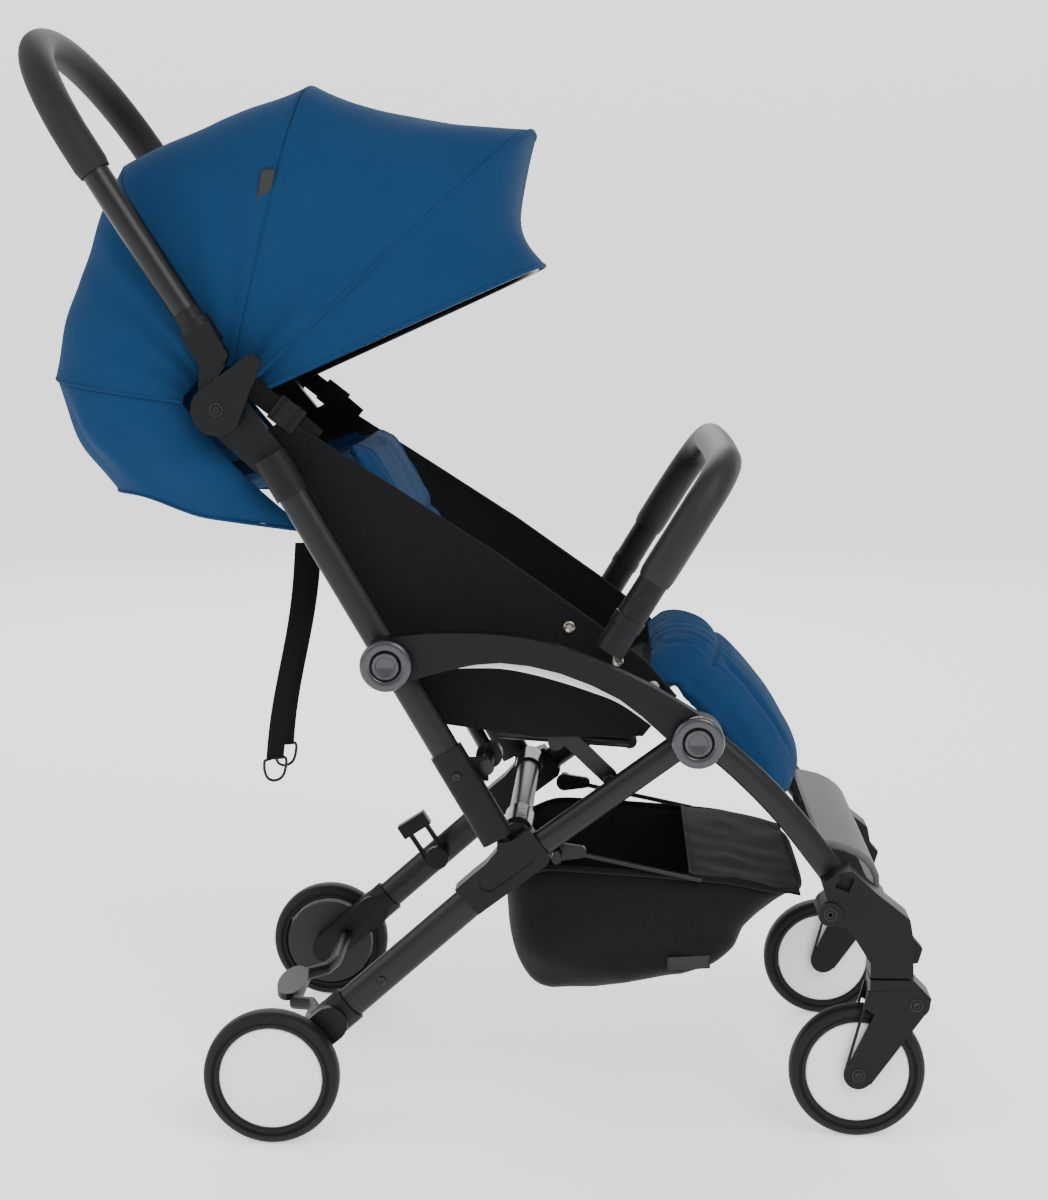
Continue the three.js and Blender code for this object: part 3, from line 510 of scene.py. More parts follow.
# ---- Hub rings and buttons ----
# Each armrest hub has a polished gunmetal ring, pressed in round a push button with a turned
# face. The button slides in on a spring and frees the hinge behind it.
gunmetal = Finish("gunmetal", (0.05, 0.051, 0.054), 0.22, Metallic=0.75, Coat_Weight=0.4,
                  Coat_Roughness=0.12)
gunmetal.bump(gunmetal.noise(0.004, 2), 0.00004)
HUB_FACE = 222
HUB_RING = [
    (14.2, -0.4), (14.4, 1.5), (15.4, 2.3), (21.6, 2.3), (23.3, 1.4), (24.2, -0.4), (24.2, -3.5),
    (14.2, -3.5),
]
HUB_BUTTON = [
    (0, 2.6), (6.5, 2.6), (7.2, 3.1), (8.6, 3.1), (9.2, 3.9), (11.6, 4.1), (12.7, 3.2), (13, 2),
    (13, -7.6), (0, -7.6),
]
for suffix, side in SIDES:
    for end, hub in (("front", FRONT_HUB), ("rear", REAR_HUB)):
        face = beside(hub, side * HUB_FACE / 1000)
        ring = spun(f"{end}_hub_ring_{suffix}", HUB_RING, face, (0, side, 0))
        dressed(ring, "arms", "gloss", gunmetal)
        button = spun(f"{end}_hub_button_{suffix}", HUB_BUTTON, face, (0, side, 0))
        dressed(button, f"{end}_button_{suffix}", "gloss", gunmetal, f"{end}_button_{suffix}")

# ---- Push tubes ----
# Oval enamelled uprights that carry the canopy and the handle. Each is pinned through the rear
# hub and ends in a moulded sleeve, whose ear holds the pivot pin of the backrest.
PUSH_LEAN = 300.3
PUSH_TOP, PUSH_FOOT = -205, 194
PUSH_TUBE_HEIGHT = 28
SLEEVE_RUN = (102, 103, 105, 196, 198.6, 199.5)
SLEEVE_WIDTH, SLEEVE_HEIGHT = 21, 32.4
EAR_FROM, EAR_Y = 126, 167.5
PIN_X, PIN_Z = 202, 357
RECLINE_PIN = [(0, -25), (6, -25), (6, 20), (0, 20)]
RECLINE_BOLT = [(0, 3), (4, 3), (7.5, 1.6), (8, 0), (0, 0)]


def push_line(along):
    """A point of the uprights' middle line, so far below the rear hub."""
    angle = math.radians(PUSH_LEAN)
    return at(113.3 + along * math.cos(angle), 0, 462.7 + along * math.sin(angle))


for suffix, side in SIDES:
    y = side * TUBE_Y
    line = [beside(push_line(d), y) for d in (PUSH_TOP, PUSH_FOOT)]
    upright = swept(f"push_tube_upright_{suffix}", line, TUBE_WIDTH, PUSH_TUBE_HEIGHT)
    dressed(upright, "push_frame", "paint", enamel, f"push_tube_{suffix}")
    line = [beside(push_line(d), y) for d in SLEEVE_RUN]
    sleeve = swept(f"push_tube_sleeve_{suffix}", line, SLEEVE_WIDTH, SLEEVE_HEIGHT, rounded=0.72)
    dressed(sleeve, "push_frame", "plastic", nylon)
    line = [beside(push_line(EAR_FROM), side * EAR_Y / 1000), at(204, side * EAR_Y, 355)]
    dressed(swept(f"recline_ear_{suffix}", line, 7, 24, rounded=0.8), "push_frame", "plastic", nylon)
    pin = spun(f"recline_pin_{suffix}", RECLINE_PIN, at(PIN_X, side * 146, PIN_Z))
    dressed(pin, "push_frame", "paint", nylon)
    bolt = spun(f"recline_bolt_{suffix}", RECLINE_BOLT, at(PIN_X, side * 171, PIN_Z), (0, side, 0))
    dressed(bolt, "push_frame", "paint", hub_black)

# ---- Push handle ----
# One round bent steel tube plugged into two hinged knuckles, with a foam grip stretched over its
# top. It stands in line with the uprights, a little in front of them.
HUB_X, HUB_Z = -43.6, 694.4
HANDLE_LEAN = 122.5
HANDLE_AHEAD = 23
HANDLE_START = 76
HANDLE_HALF = 172
HANDLE_ROUND = 26.3
GRIP_ROUND = 33


def handle_point(along, share):
    """A point of the handle's middle line: so far up from the knuckles, at a share of the half width."""
    angle = math.radians(HANDLE_LEAN)
    ahead = math.radians(HANDLE_LEAN - 90)
    base_x, base_z = HUB_X + HANDLE_AHEAD * math.cos(ahead), HUB_Z + HANDLE_AHEAD * math.sin(ahead)
    reach = HANDLE_START + along
    return at(base_x + reach * math.cos(angle), share * HANDLE_HALF, base_z + reach * math.sin(angle))


HANDLE_ROW = [(0, 1), (159, 1), (222.6, 0.965), (272, 0.78), (306, 0.45)]
handle_loop = [handle_point(*row) for row in HANDLE_ROW] + [handle_point(318, 0)]
handle_loop += [handle_point(along, -share) for along, share in reversed(HANDLE_ROW)]
handle_line = smooth_line(handle_loop, 105)
softened("handle_tube", "handle", nylon, 1.2, "handle_knuckles")
for suffix, part in (("l", handle_line[2:21]), ("r", handle_line[-21:-2])):
    bare = swept(f"handle_tube_{suffix}", part, HANDLE_ROUND, HANDLE_ROUND, flat=(0, 1, 0.3))
    dressed(bare, "handle", "paint", enamel)
foam = Finish("grip_foam", (0.0085, 0.0088, 0.0095), 0.62, Specular_IOR_Level=0.25)
foam.bump(foam.noise(0.0016, 4), 0.0003)


def grip_girth(full, ends):
    """The girth along a grip: full, drawn in by the share `ends` at its two rolled ends."""
    return lambda t: full * (1 - ends * max(0, 1 - min(t, 1 - t) * 60) ** 2)


foam_girth = grip_girth(GRIP_ROUND, 0.09)
grip = swept("handle_foam", handle_line[20:-20], foam_girth, foam_girth, flat=(0, 0.02, 1))
dressed(grip, "handle", "foam", foam, "handle_grip")

# ---- Bumper bar ----
# A bent bar wrapped in leather-look trim. Its two legs are moulded in nylon and plug into sockets
# in the armrests, where the small releases hold them.
BUMPER_LEAN = 60
BUMPER_X, BUMPER_Z = 318, 476
BUMPER_REACH = 196
BUMPER_HALF = 208.5
BUMPER_ROUND = 28.4


def bumper_point(along, share):
    """A point of the bar's middle line: so far up from the sockets, at a share of the half width."""
    angle = math.radians(BUMPER_LEAN)
    lean = 8 * (along / BUMPER_REACH) ** 2
    x, z = BUMPER_X + along * math.cos(angle) + lean, BUMPER_Z + along * math.sin(angle)
    return at(x, share * BUMPER_HALF, z)


BUMPER_ROW = [(0, 1), (145, 1), (176.4, 0.94), (192.1, 0.8), (196, 0.5)]
bumper_loop = [bumper_point(*row) for row in BUMPER_ROW]
bumper_loop += [bumper_point(along, -share) for along, share in reversed(BUMPER_ROW)]
bumper_line = smooth_line(bumper_loop, 121)
softened("bumper_bar", "bumper", nylon, 0.8)
wrap = Finish("bumper_wrap", (0.008, 0.0083, 0.009), 0.5, Specular_IOR_Level=0.28)
creases = wrap.node("ShaderNodeTexVoronoi", {"feature": "DISTANCE_TO_EDGE"},
                    Vector=wrap.place((1, 0.55, 1)), Scale=420.0)
wrap.bump(creases + wrap.noise(0.003, 3) * 0.6, 0.00035, 0.8)
COLLAR = [(14.3, -6), (15.1, -5.4), (15.1, 5.4), (14.3, 6)]
for suffix, part in (("l", bumper_line[:14]), ("r", bumper_line[-14:])):
    leg = swept(f"bumper_leg_{suffix}", part, BUMPER_ROUND, BUMPER_ROUND, flat=(0, 1, 0.2))
    dressed(leg, "bumper", "plastic", nylon)
    upwards = part if suffix == "l" else part[::-1]
    along = (upwards[8] - upwards[2]).normalized()
    collar = spun(f"bumper_collar_{suffix}", COLLAR, upwards[5], along)
    dressed(collar, "bumper", "plastic", nylon)
trim_girth = grip_girth(GRIP_ROUND, 0.08)
bumper_grip = swept("bumper_trim", bumper_line[12:-12], trim_girth, trim_girth, flat=(0, 0.02, 1))
dressed(bumper_grip, "bumper", "wrap", wrap, "bumper_grip")

# ---- Screws and rivets ----
# Turned socket screws and dome rivets of dark steel. The screws at the hinges sit in shallow
# black plastic cups; the rivets go straight through the tubes.
SCREW = [(0, 0.4), (1.6, 0.4), (1.9, 1.6), (3.6, 1.6), (4.3, 0.9), (4.5, 0), (0, 0)]
CUP = [(4.6, 0), (4.8, 0.9), (6.2, 0.9), (6.8, 0.1), (6.8, -1.5), (4.6, -1.5)]
HEAD_STEPS = 28
black_steel = Finish("black_steel", (0.02, 0.02, 0.022), 0.3, Metallic=0.7)
black_steel.bump(black_steel.noise(0.0009, 2), 0.00004)


def screw(name, body, spot, side, cupped=True):
    head = spun(f"{name}_screw", SCREW, spot, (0, side, 0), HEAD_STEPS)
    dressed(head, body, "paint", black_steel)
    if cupped:
        cup = spun(f"{name}_cup", CUP, spot, (0, side, 0), HEAD_STEPS)
        dressed(cup, body, "plastic", hub_black)


for suffix, side in SIDES:
    screw(f"canopy_hub_{suffix}", "bow_front", at(HUB_X, side * 191.2, HUB_Z), side)
    screw(f"leg_bolt_{suffix}", "front_legs", at(526.9, side * 190.6, 223.2), side)
    screw(f"fork_bolt_{suffix}", f"caster_{suffix}", at(609.9, side * 189.1, 135.2), side)
    screw(f"front_axle_{suffix}", f"caster_{suffix}", at(557, side * 189.1, 65), side)
    screw(f"sleeve_rivet_{suffix}", "push_frame", at(176, side * 190.8, 352), side, False)
    screw(f"tube_rivet_{suffix}", "rear_frame", at(103, side * 189.2, 152), side, False)
    screw(f"hanger_{suffix}", "rear_frame", at(268, side * 156.2, 393), side)

# ---- Blue canopy ----
# Four sewn panels of blue cloth stretched over sprung steel bows, with piped seams and a loose
# flap behind. The bows turn about the two hubs.
BOWS = [(172, 180), (115, 252), (76.5, 311), (42.5, 385), (24.3, 322)]
BOW_BODIES = ["push_frame", "bow_back", "bow_top", "bow_front", "bow_visor"]
CANOPY_HALF = 156
BOW_ROOT = 40
ARCH = 0.55


def canopy_point(angle, reach, share, half=CANOPY_HALF):
    """A point of a bow at this angle: share 0 is its left root, 0.5 its top and 1 its right root."""
    turn = math.pi * share
    across = math.copysign(abs(math.cos(turn)) ** ARCH, math.cos(turn)) * half
    out = BOW_ROOT + (reach - BOW_ROOT) * max(math.sin(turn), 0) ** ARCH
    a = math.radians(angle)
    return at(HUB_X + out * math.cos(a), across, HUB_Z + out * math.sin(a))


def drape(p, angle, share, depth):
    """How far the cloth hangs off its straight line: loose folds, and creases that fan from the hubs."""
    side_share = abs(math.cos(math.pi * share)) ** 2
    fold = noise.noise(Vector((angle * 0.075, share * 3, 1.5))) * 5 + noise.noise(p * 16) * 3.5
    spread = math.sin(math.radians(angle) * 21 + noise.noise(p * 5) * 5)
    fan = spread * 2.6 * side_share * max(math.sin(math.pi * share), 0) ** 0.3
    out = (p - at(HUB_X + 40, 0, HUB_Z + 60)).normalized()
    return out * (fold + fan) * depth / 1000


def cloth_grid(name, columns, rows, place):
    """A sheet made from a flat grid, each point moved to where place(u, v) puts it."""
    bm = bmesh.new()
    bmesh.ops.create_grid(bm, x_segments=columns, y_segments=rows, size=0.5)
    for v in bm.verts:
        v.co = place(v.co.x + 0.5, v.co.y + 0.5)
    return new_piece(name, bm, 180)


def thickened(piece, thickness, offset=-1.0):
    solid = piece.modifiers.new("cloth", "SOLIDIFY")
    solid.thickness = thickness / 1000
    solid.offset = offset
    return piece


blue = Finish("blue_cloth", (0.006, 0.034, 0.092), 0.86, Sheen_Weight=0.015, Sheen_Roughness=0.5,
              Specular_IOR_Level=0.08)
melange = blue.noise(0.0016, 3) * 0.65 + blue.noise(0.05, 2) * 0.35
blue.mottle(melange, (0.0038, 0.026, 0.074), (0.0085, 0.043, 0.112))


def threads(finish, direction, turn, scale):
    """Ribs of thread that run across one direction of the cloth."""
    return finish.node("ShaderNodeTexWave", {"bands_direction": direction},
                       Vector=finish.place(turn=turn), Scale=scale)


weft, warp = (threads(blue, direction, (0.5, 0.3, 0.8), 380.0) for direction in "XZ")
blue.bump(weft + warp, 0.00012, 0.5)


GORE_STEPS = 40


def gore_cut(near_bow, far_bow):
    """The flat cut of a panel: as long as its longer bow, with the bows' spacing as its width."""
    shares = [k / GORE_STEPS for k in range(GORE_STEPS + 1)]
    lines = [[canopy_point(*bow, share) for share in shares] for bow in (near_bow, far_bow)]
    spans = [(a - b).length for a, b in zip(*lines)]
    lengths = [sum((a - b).length for a, b in zip(line, line[1:])) for line in lines]
    mean_span = sum(0.5 * (a + b) for a, b in zip(spans, spans[1:])) / GORE_STEPS
    return max(lengths), max(spans), mean_span * sum(lengths) / 2


PANELS = ["canopy_rear", "canopy_back", "canopy_top", "canopy_visor"]
DIPS = [-7, -3, 12, 24]
for i, node in enumerate(PANELS):
    (a0, r0), (a1, r1) = BOWS[i], BOWS[i + 1]

    def panel_place(u, v):
        v = 1 - v
        p = canopy_point(a0, r0, u).lerp(canopy_point(a1, r1, u), v)
        level = math.sin(math.pi * v)
        crown = max(math.sin(math.pi * u), 0) ** 0.5
        inward = (at(HUB_X, 0, HUB_Z) - Vector((p.x, 0, p.z))).normalized()
        p = p + inward * (DIPS[i] * crown * level / 1000)
        return p + drape(p, a0 + (a1 - a0) * v, u, level ** 0.7)

    panel = thickened(cloth_grid(f"{node}_cloth", 72, 26, panel_place), 1.6)
    blue.on(panel)
    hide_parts(node)
    canopy_point(a0, r0, 0.5)
    canopy_point(a1, r1, 0.5)
    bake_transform(panel)
    length, width, area = gore_cut(BOWS[i], BOWS[i + 1])


def tube_along(name, points, radius, body, slot, finish, count):
    line = smooth_line(points, count)
    return dressed(swept(name, line, radius * 2, radius * 2, 10, flat=(0.05, 1, 0.1)), body, slot, finish)


seam_dark = Finish("seam_dark", (0.0025, 0.006, 0.014), 0.85, Specular_IOR_Level=0.1)
seam_dark.bump(seam_dark.noise(0.001, 2), 0.0001)
PIPING = [2.2, 0.7, 1.0, 2.5, 2.4]
TOP_SEAM = 2
for i, ((angle, reach), body) in enumerate(zip(BOWS, BOW_BODIES)):
    shares = [k / 24 for k in range(25)]
    line = [canopy_point(angle, reach, share) for share in shares]
    cord = seam_dark if i == TOP_SEAM else blue
    tube_along(f"canopy_bow_piping_{i}", line, PIPING[i], body, "blue", cord, 90)
    inner = [canopy_point(angle, reach - 8, share, CANOPY_HALF - 7) for share in shares]
    tube_along(f"canopy_bow_steel_{i}", inner, 2.5, body, "paint", enamel, 90)


def flap_place(u, v):
    """The loose skirt behind the seat, from the rear bow down to its sagging hem."""
    top = canopy_point(*BOWS[0], u)
    behind = max(math.sin(math.pi * u), 0) ** 0.5
    y = top.y * 1000 * (1 - 0.06 * (1 - v))
    hem = 7 * math.sin(behind * 9 + u) * behind
    foot = at(32 - 200 * behind, y, 578 + 32 * behind + hem)
    p = top.lerp(foot, 1 - v)
    sag = math.sin(math.pi * v)
    ruffle = math.sin(u * 34) * 3.5 + noise.noise(p * 14) * 9
    out = Vector((-0.9 * behind, math.copysign(1 - behind, p.y), 0))
    return p + out * (sag * (3 + ruffle * 1.3)) / 1000 + Vector((0, 0, -1)) * sag * 0.006


flap = thickened(cloth_grid("canopy_rear_flap", 72, 22, flap_place), 1.6)
dressed(flap, "push_frame", "blue", blue)
hem = [flap_place(k / 24, 0) for k in range(25)]
tube_along("canopy_flap_hem", hem, 1.6, "push_frame", "blue", blue, 90)

# ---- Seat side walls ----
# Black cloth walls stretched from the uprights to the seat's front corners, bound along the top
# edge and held by three snaps. A blue cloth closes the gap behind the head.
black = Finish("black_cloth", (0.0045, 0.0048, 0.0056), 0.82, Sheen_Weight=0.06, Sheen_Roughness=0.5,
               Specular_IOR_Level=0.12)
black.mottle(black.noise(0.004, 4), (0.0032, 0.0034, 0.004), (0.0065, 0.007, 0.0082))
weft, warp = (threads(black, direction, (0, 0.9, 0), 420.0) for direction in "XZ")
black.bump(weft + warp + black.noise(0.012, 3) * 6, 0.0002, 0.35)
nickel = Finish("snap_nickel", (0.3, 0.27, 0.24), 0.3, Metallic=1.0)
nickel.bump(nickel.noise(0.001, 2), 0.00003)
SNAP = [(0, 0.2), (2.2, 0.3), (2.6, 1.2), (4.2, 1.9), (5.6, 1.4), (6.2, 0), (0, 0)]
WALL_TOP = [(14, 684), (120, 617), (215, 556), (303, 494), (352, 456), (380, 424)]
WALL_FOOT = [(-14, 668), (44, 578), (100, 490), (160, 396), (250, 384), (350, 386)]
WALL_TOP_Y, WALL_FOOT_Y = 162, 158


def wall_line(row, t, y):
    """The point at share t of the way along a row of (x, z) corners, an equal share to each stretch."""
    k = min(int(t * (len(row) - 1)), len(row) - 2)
    f = t * (len(row) - 1) - k
    (x0, z0), (x1, z1) = row[k], row[k + 1]
    return at(x0 + (x1 - x0) * f, y, z0 + (z1 - z0) * f)


def gather(piece):
    """Gives the piece its own copy of its mesh."""
    tuple(at(118, 0, 465))
    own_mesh(piece)


for suffix, side in SIDES:
    def wall_place(u, v):
        top = wall_line(WALL_TOP, u, side * WALL_TOP_Y)
        foot = wall_line(WALL_FOOT, u, side * WALL_FOOT_Y)
        p = foot.lerp(top, v)
        belly = math.sin(math.pi * v) * math.sin(math.pi * u)
        pull = noise.noise(Vector((p.x * 7 + p.z * 5, p.z * 13 - p.x * 9, side * 3))) * 5
        pull += math.sin((p.x + p.z * 0.6) * 75) * 1.2
        return p + Vector((0, side * (pull - 1.5) * belly / 1000, 0))

    wall = thickened(cloth_grid(f"seat_wall_{suffix}", 90, 40, wall_place), 2.4, 0)
    dressed(wall, "push_frame", "black", black, f"side_wing_{suffix}")
    outline = WALL_TOP + WALL_FOOT[::-1]
    turns = zip(outline, outline[1:] + outline[:1])
    cut_mm2 = abs(sum(x0 * z1 - x1 * z0 for (x0, z0), (x1, z1) in turns)) / 2
    cut_mm2 / 1e6
    rim = [wall_place(k / 30, 1) for k in range(31)]
    binding = tube_along(f"seat_wall_binding_{suffix}", rim, 2.6, "push_frame", "black", black, 80)
    gather(binding)
    gather(wall)
    for k, u in enumerate((0.58, 0.74, 0.9)):
        stud = wall_place(u, 0.9) + Vector((0, side * 0.0016, 0))
        snap = spun(f"wall_snap_{suffix}_{k}", SNAP, stud, (0, side, 0), 28)
        gather(dressed(snap, "push_frame", "paint", nickel))

# Each wall is pulled up to the canopy hub by a short webbing tab with a ladder buckle on it.
TAB_Y = 160
TAB_ROW = [(-18, 716), (-2, 702), (20, 686), (44, 666)]
BUCKLE_ROW = [(6, 697), (28, 680)]
BUCKLE_BARS = [(10, 694), (23, 684)]
for suffix, side in SIDES:
    tab = smooth_line([at(x, side * TAB_Y, z) for x, z in TAB_ROW], 20)
    dressed(swept(f"wall_tab_{suffix}", tab, 2, 20, 12, rounded=0.5), "push_frame", "black", black)
    line = [at(x, side * (TAB_Y + 1.5), z) for x, z in BUCKLE_ROW]
    buckle = swept(f"wall_buckle_{suffix}", line, 6, 26, 20, rounded=0.4)
    dressed(buckle, "push_frame", "plastic", nylon)
    for k, (x, z) in enumerate(BUCKLE_BARS):
        line = [at(x + out * 7, side * (TAB_Y + 5), z + out * 9) for out in (-1, 1)]
        bar = swept(f"wall_buckle_bar_{suffix}_{k}", line, 2.4, 2.4, 10)
        dressed(bar, "push_frame", "plastic", nylon)


def liner(u, v):
    """The loose cloth behind the head: it sags from the canopy's rear hem to the top of the backrest."""
    bow = math.sin(math.pi * u) ** 0.5
    x = (18 - 172 * bow) * (1 - v) + 74 * v
    z = (640 - 32 * bow) * (1 - v) + (652 - 8 * bow) * v
    sag = math.sin(math.pi * v)
    folds = math.sin(u * 46 + v * 5) * 2.5 + noise.noise(Vector((u * 8, v * 4, 2))) * 9
    return at(x + folds * 0.5 * sag, 151 - 302 * u, z + (folds - 16 * bow) * sag)


lining = thickened(cloth_grid("seat_lining", 90, 30, liner), 1.4)
blue.on(lining)
tuple(at(-140, 0, 612))
tuple(at(62, 0, 655))
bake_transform(lining)

# ---- Seat and backrest padding ----
# Quilted pads of cloth over soft filling, laid on the frame: a blue backrest pad and calf pad, and
# a black seat cushion between. Their channels are sewn through, and each moves with its own frame.


def pad_grid(name, line, half, thick, columns, rows, crown, curl):
    """A closed pad along a side-view line, crowned in the middle and drawn in at its edges.

    Its edges lift off the line by curl, or fall below it where curl is negative.
    """
    path = smooth_line(line, rows + 1)
    bm = bmesh.new()
    for layer in (1, -1):
        made = bmesh.ops.create_grid(bm, x_segments=columns, y_segments=rows, size=0.5)["verts"]
        for v in made:
            u, t = v.co.x * 2, v.co.y + 0.5
            k = min(int(t * rows), rows - 1)
            here = path[k].lerp(path[k + 1], t * rows - k)
            along = (path[min(k + 2, rows)] - path[max(k - 1, 0)]).normalized()
            out = Vector((-along.z, 0, along.x))
            rim = max(0, 1 - abs(u) ** 6) ** 0.5 * max(0, 1 - abs(2 * t - 1) ** 10) ** 0.5
            swell = thick / 2 * rim * (1 + crown * (1 - u * u))
            waist = 1 - 0.025 * (1 - abs(2 * t - 1) ** 4)
            side = Vector((0, u * half * waist / 1000, 0))
            v.co = here + side + out * (layer * swell + curl * abs(u) ** 3) / 1000
    bmesh.ops.remove_doubles(bm, verts=bm.verts, dist=2e-5)
    bmesh.ops.recalc_face_normals(bm, faces=bm.faces)
    return new_piece(name, bm, 180), path


FILLING_PRESSURE = 4
FILLING_FRAMES = 18


def plumped(piece, cap):
    """The pad swells with its filling: a short cloth run under pressure, no point moving over cap mm."""
    scene = bpy.context.scene
    even = piece.modifiers.new("even", "REMESH")
    even.mode = "VOXEL"
    even.voxel_size = 0.0055
    dg = bpy.context.evaluated_depsgraph_get()
    mesh = bpy.data.meshes.new_from_object(piece.evaluated_get(dg))
    piece.modifiers.clear()
    piece.data = mesh
    start = [v.co.copy() for v in mesh.vertices]
    cloth = piece.modifiers.new("filling", "CLOTH")
    cloth.settings.quality = 4
    cloth.settings.use_pressure = True
    cloth.settings.uniform_pressure_force = FILLING_PRESSURE
    cloth.settings.effector_weights.gravity = 0
    for moment in range(1, FILLING_FRAMES + 1):
        scene.frame_set(moment)
    dg = bpy.context.evaluated_depsgraph_get()
    settled = [v.co.copy() for v in piece.evaluated_get(dg).data.vertices]
    piece.modifiers.clear()
    scene.frame_set(1)
    for v, before, after in zip(mesh.vertices, start, settled):
        step = after - before
        if step.length > cap / 1000:
            step *= cap / 1000 / step.length
        v.co = before + step
    bm = bmesh.new()
    bm.from_mesh(mesh)
    bmesh.ops.subdivide_edges(bm, edges=bm.edges, cuts=1, use_grid_fill=True, smooth=0.6)
    bmesh.ops.smooth_vert(bm, verts=bm.verts, factor=0.5, use_axis_x=True, use_axis_y=True,
                          use_axis_z=True)
    bm.to_mesh(mesh)
    bm.free()
    mesh.shade_smooth()


def quilted(piece, path, half, depth_at):
    """Sews the pad: each point of its upper face sinks by depth_at(across, along) mm."""
    last = len(path) - 1
    for v in piece.data.vertices:
        flat = Vector((v.co.x, 0, v.co.z))
        k = min(range(last), key=lambda j: (path[j].lerp(path[j + 1], 0.5) - flat).length_squared)
        along = path[k + 1] - path[k]
        f = max(0, min(1, (flat - path[k]).dot(along) / along.length_squared))
        out = Vector((-along.z, 0, along.x)).normalized()
        above = (flat - path[k]).dot(out)
        if above > 0:
            reach = min(1, above * 250)
            v.co -= out * depth_at(v.co.y * 1000 / half, (k + f) / last) * reach / 1000
    piece.data.update()


def groove(x, centre, width):
    return math.exp(-((x - centre) / width) ** 2)


BACK_LEAN = 119
BACK_HALF, SEAT_HALF, CALF_HALF = 137, 136, 140
BACK_THICK, SEAT_THICK, CALF_THICK = 17, 18, 17


def back_at(along, out=30):
    """A point of the backrest: so far up from its pivot pin, and so far in front of its frame."""
    lean = math.radians(BACK_LEAN)
    base_x = PIN_X + out * math.cos(lean - math.pi / 2)
    base_z = PIN_Z + out * math.sin(lean - math.pi / 2)
    return at(base_x + along * math.cos(lean), 0, base_z + along * math.sin(lean))


def back_stitching(u, t):
    """Two channels across the backrest and one down near each edge, on uneven filling."""
    across = 4 * groove(t, 0.35, 0.02) + 4 * groove(t, 0.68, 0.02)
    return across + 3 * groove(abs(u), 0.72, 0.03) + noise.noise(Vector((u * 4, t * 6, 0))) * 1.5


back_line = [back_at(along) for along in (332, 235, 140, 37)]
back_pad, back_path = pad_grid("backrest_pad", back_line, BACK_HALF, BACK_THICK, 48, 60, 0.2, curl=4)
plumped(back_pad, 6)
quilted(back_pad, back_path, BACK_HALF, back_stitching)
dressed(back_pad, "backrest", "blue", blue, "back_pad")
tuple(back_at(190, 40))
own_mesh(back_pad)


def seat_stitching(u, t):
    """One channel across the seat and one along near each edge."""
    return 4 * groove(t, 0.5, 0.03) + 3 * groove(abs(u), 0.7, 0.03)


seat_line = [at(204, 0, 403), at(260, 0, 400), at(330, 0, 408), at(374, 0, 425)]
seat_cushion, seat_path = pad_grid("seat_cushion", seat_line, SEAT_HALF, SEAT_THICK, 48, 40, 0.2, curl=3)
plumped(seat_cushion, 5)
quilted(seat_cushion, seat_path, SEAT_HALF, seat_stitching)
dressed(seat_cushion, "rear_frame", "black", black, "seat_pad")

KNEE_SEAM = 0.315
CALF_STITCH_HALF = 136
CALF_ROW = [(350, 462), (392, 458), (428, 432), (462, 394), (488, 350), (498, 312)]


def calf_stitching(u, t):
    """Gathers above the knee seam, then one long sewn channel near each edge below it."""
    gathers = math.sin(u * 46 + math.sin(t * 20) * 1.2) * 0.9
    gathers += noise.noise(Vector((u * 30, t * 6, 0))) * 1.6
    pleats = max(0, min(1, (0.3 - t) * 20)) * gathers
    below = max(0, min(1, (t - 0.33) * 14)) * max(0, min(1, (0.84 - t) * 9))
    channel = 5.5 * groove(abs(u), 0.56 + 0.1 * (t - 0.6), 0.045) * below
    puckers = math.sin(u * 60) * 0.7 * groove(t, 0.36, 0.035)
    filling = noise.noise(Vector((u * 3, t * 5, 4))) * 2
    return pleats + channel + puckers + 3.2 * groove(t, KNEE_SEAM, 0.011) + filling


calf_line = [at(x, 0, z) for x, z in CALF_ROW]
calf_pad, calf_path = pad_grid("calf_pad_cloth", calf_line, CALF_HALF, CALF_THICK, 64, 84, 0.25, curl=-36)
plumped(calf_pad, 7)
quilted(calf_pad, calf_path, CALF_STITCH_HALF, calf_stitching)
dressed(calf_pad, "front_legs", "blue", blue, "calf_pad")

# ---- Footrest ----
# A broad tread moulded in soft grey plastic. It spans the front legs above the casters and is
# fixed to them, so it folds away with them.
grey_moulding = Finish("grey_moulding", (0.085, 0.085, 0.083), 0.6)
grey_moulding.bump(grey_moulding.noise(0.001, 3), 0.0001)
softened("footrest", "front_legs", grey_moulding, 2)

# ---- Basket ----
# A slung bag of black cloth with a heathered mesh lining and a blank woven label. It hangs by its
# rim from the seat frame on two thin rods, and a flat panel covers its front.
heather = Finish("heathered_mesh", (0.02, 0.02, 0.023), 0.95)
heather.mottle(heather.noise(0.0022, 4), (0.002, 0.002, 0.003), (0.02, 0.02, 0.022))
heather.bump(heather.noise(0.002, 3), 0.0003)
BASKET_TOP = [(214, 234), (260, 250), (330, 247), (440, 238), (508, 222)]
BASKET_FLOOR = [(214, 112), (262, 109), (330, 118), (390, 127), (440, 148), (508, 190)]
BASKET_MIDDLE, BASKET_HALF_LENGTH, BASKET_HALF_WIDTH = 361, 147, 137


def side_height(row, x):
    """The height at x of a side view given as a row of (x, z) corners."""
    for (x0, z0), (x1, z1) in zip(row, row[1:]):
        if x <= x1:
            return z0 + (z1 - z0) * (x - x0) / (x1 - x0)
    return row[-1][1]


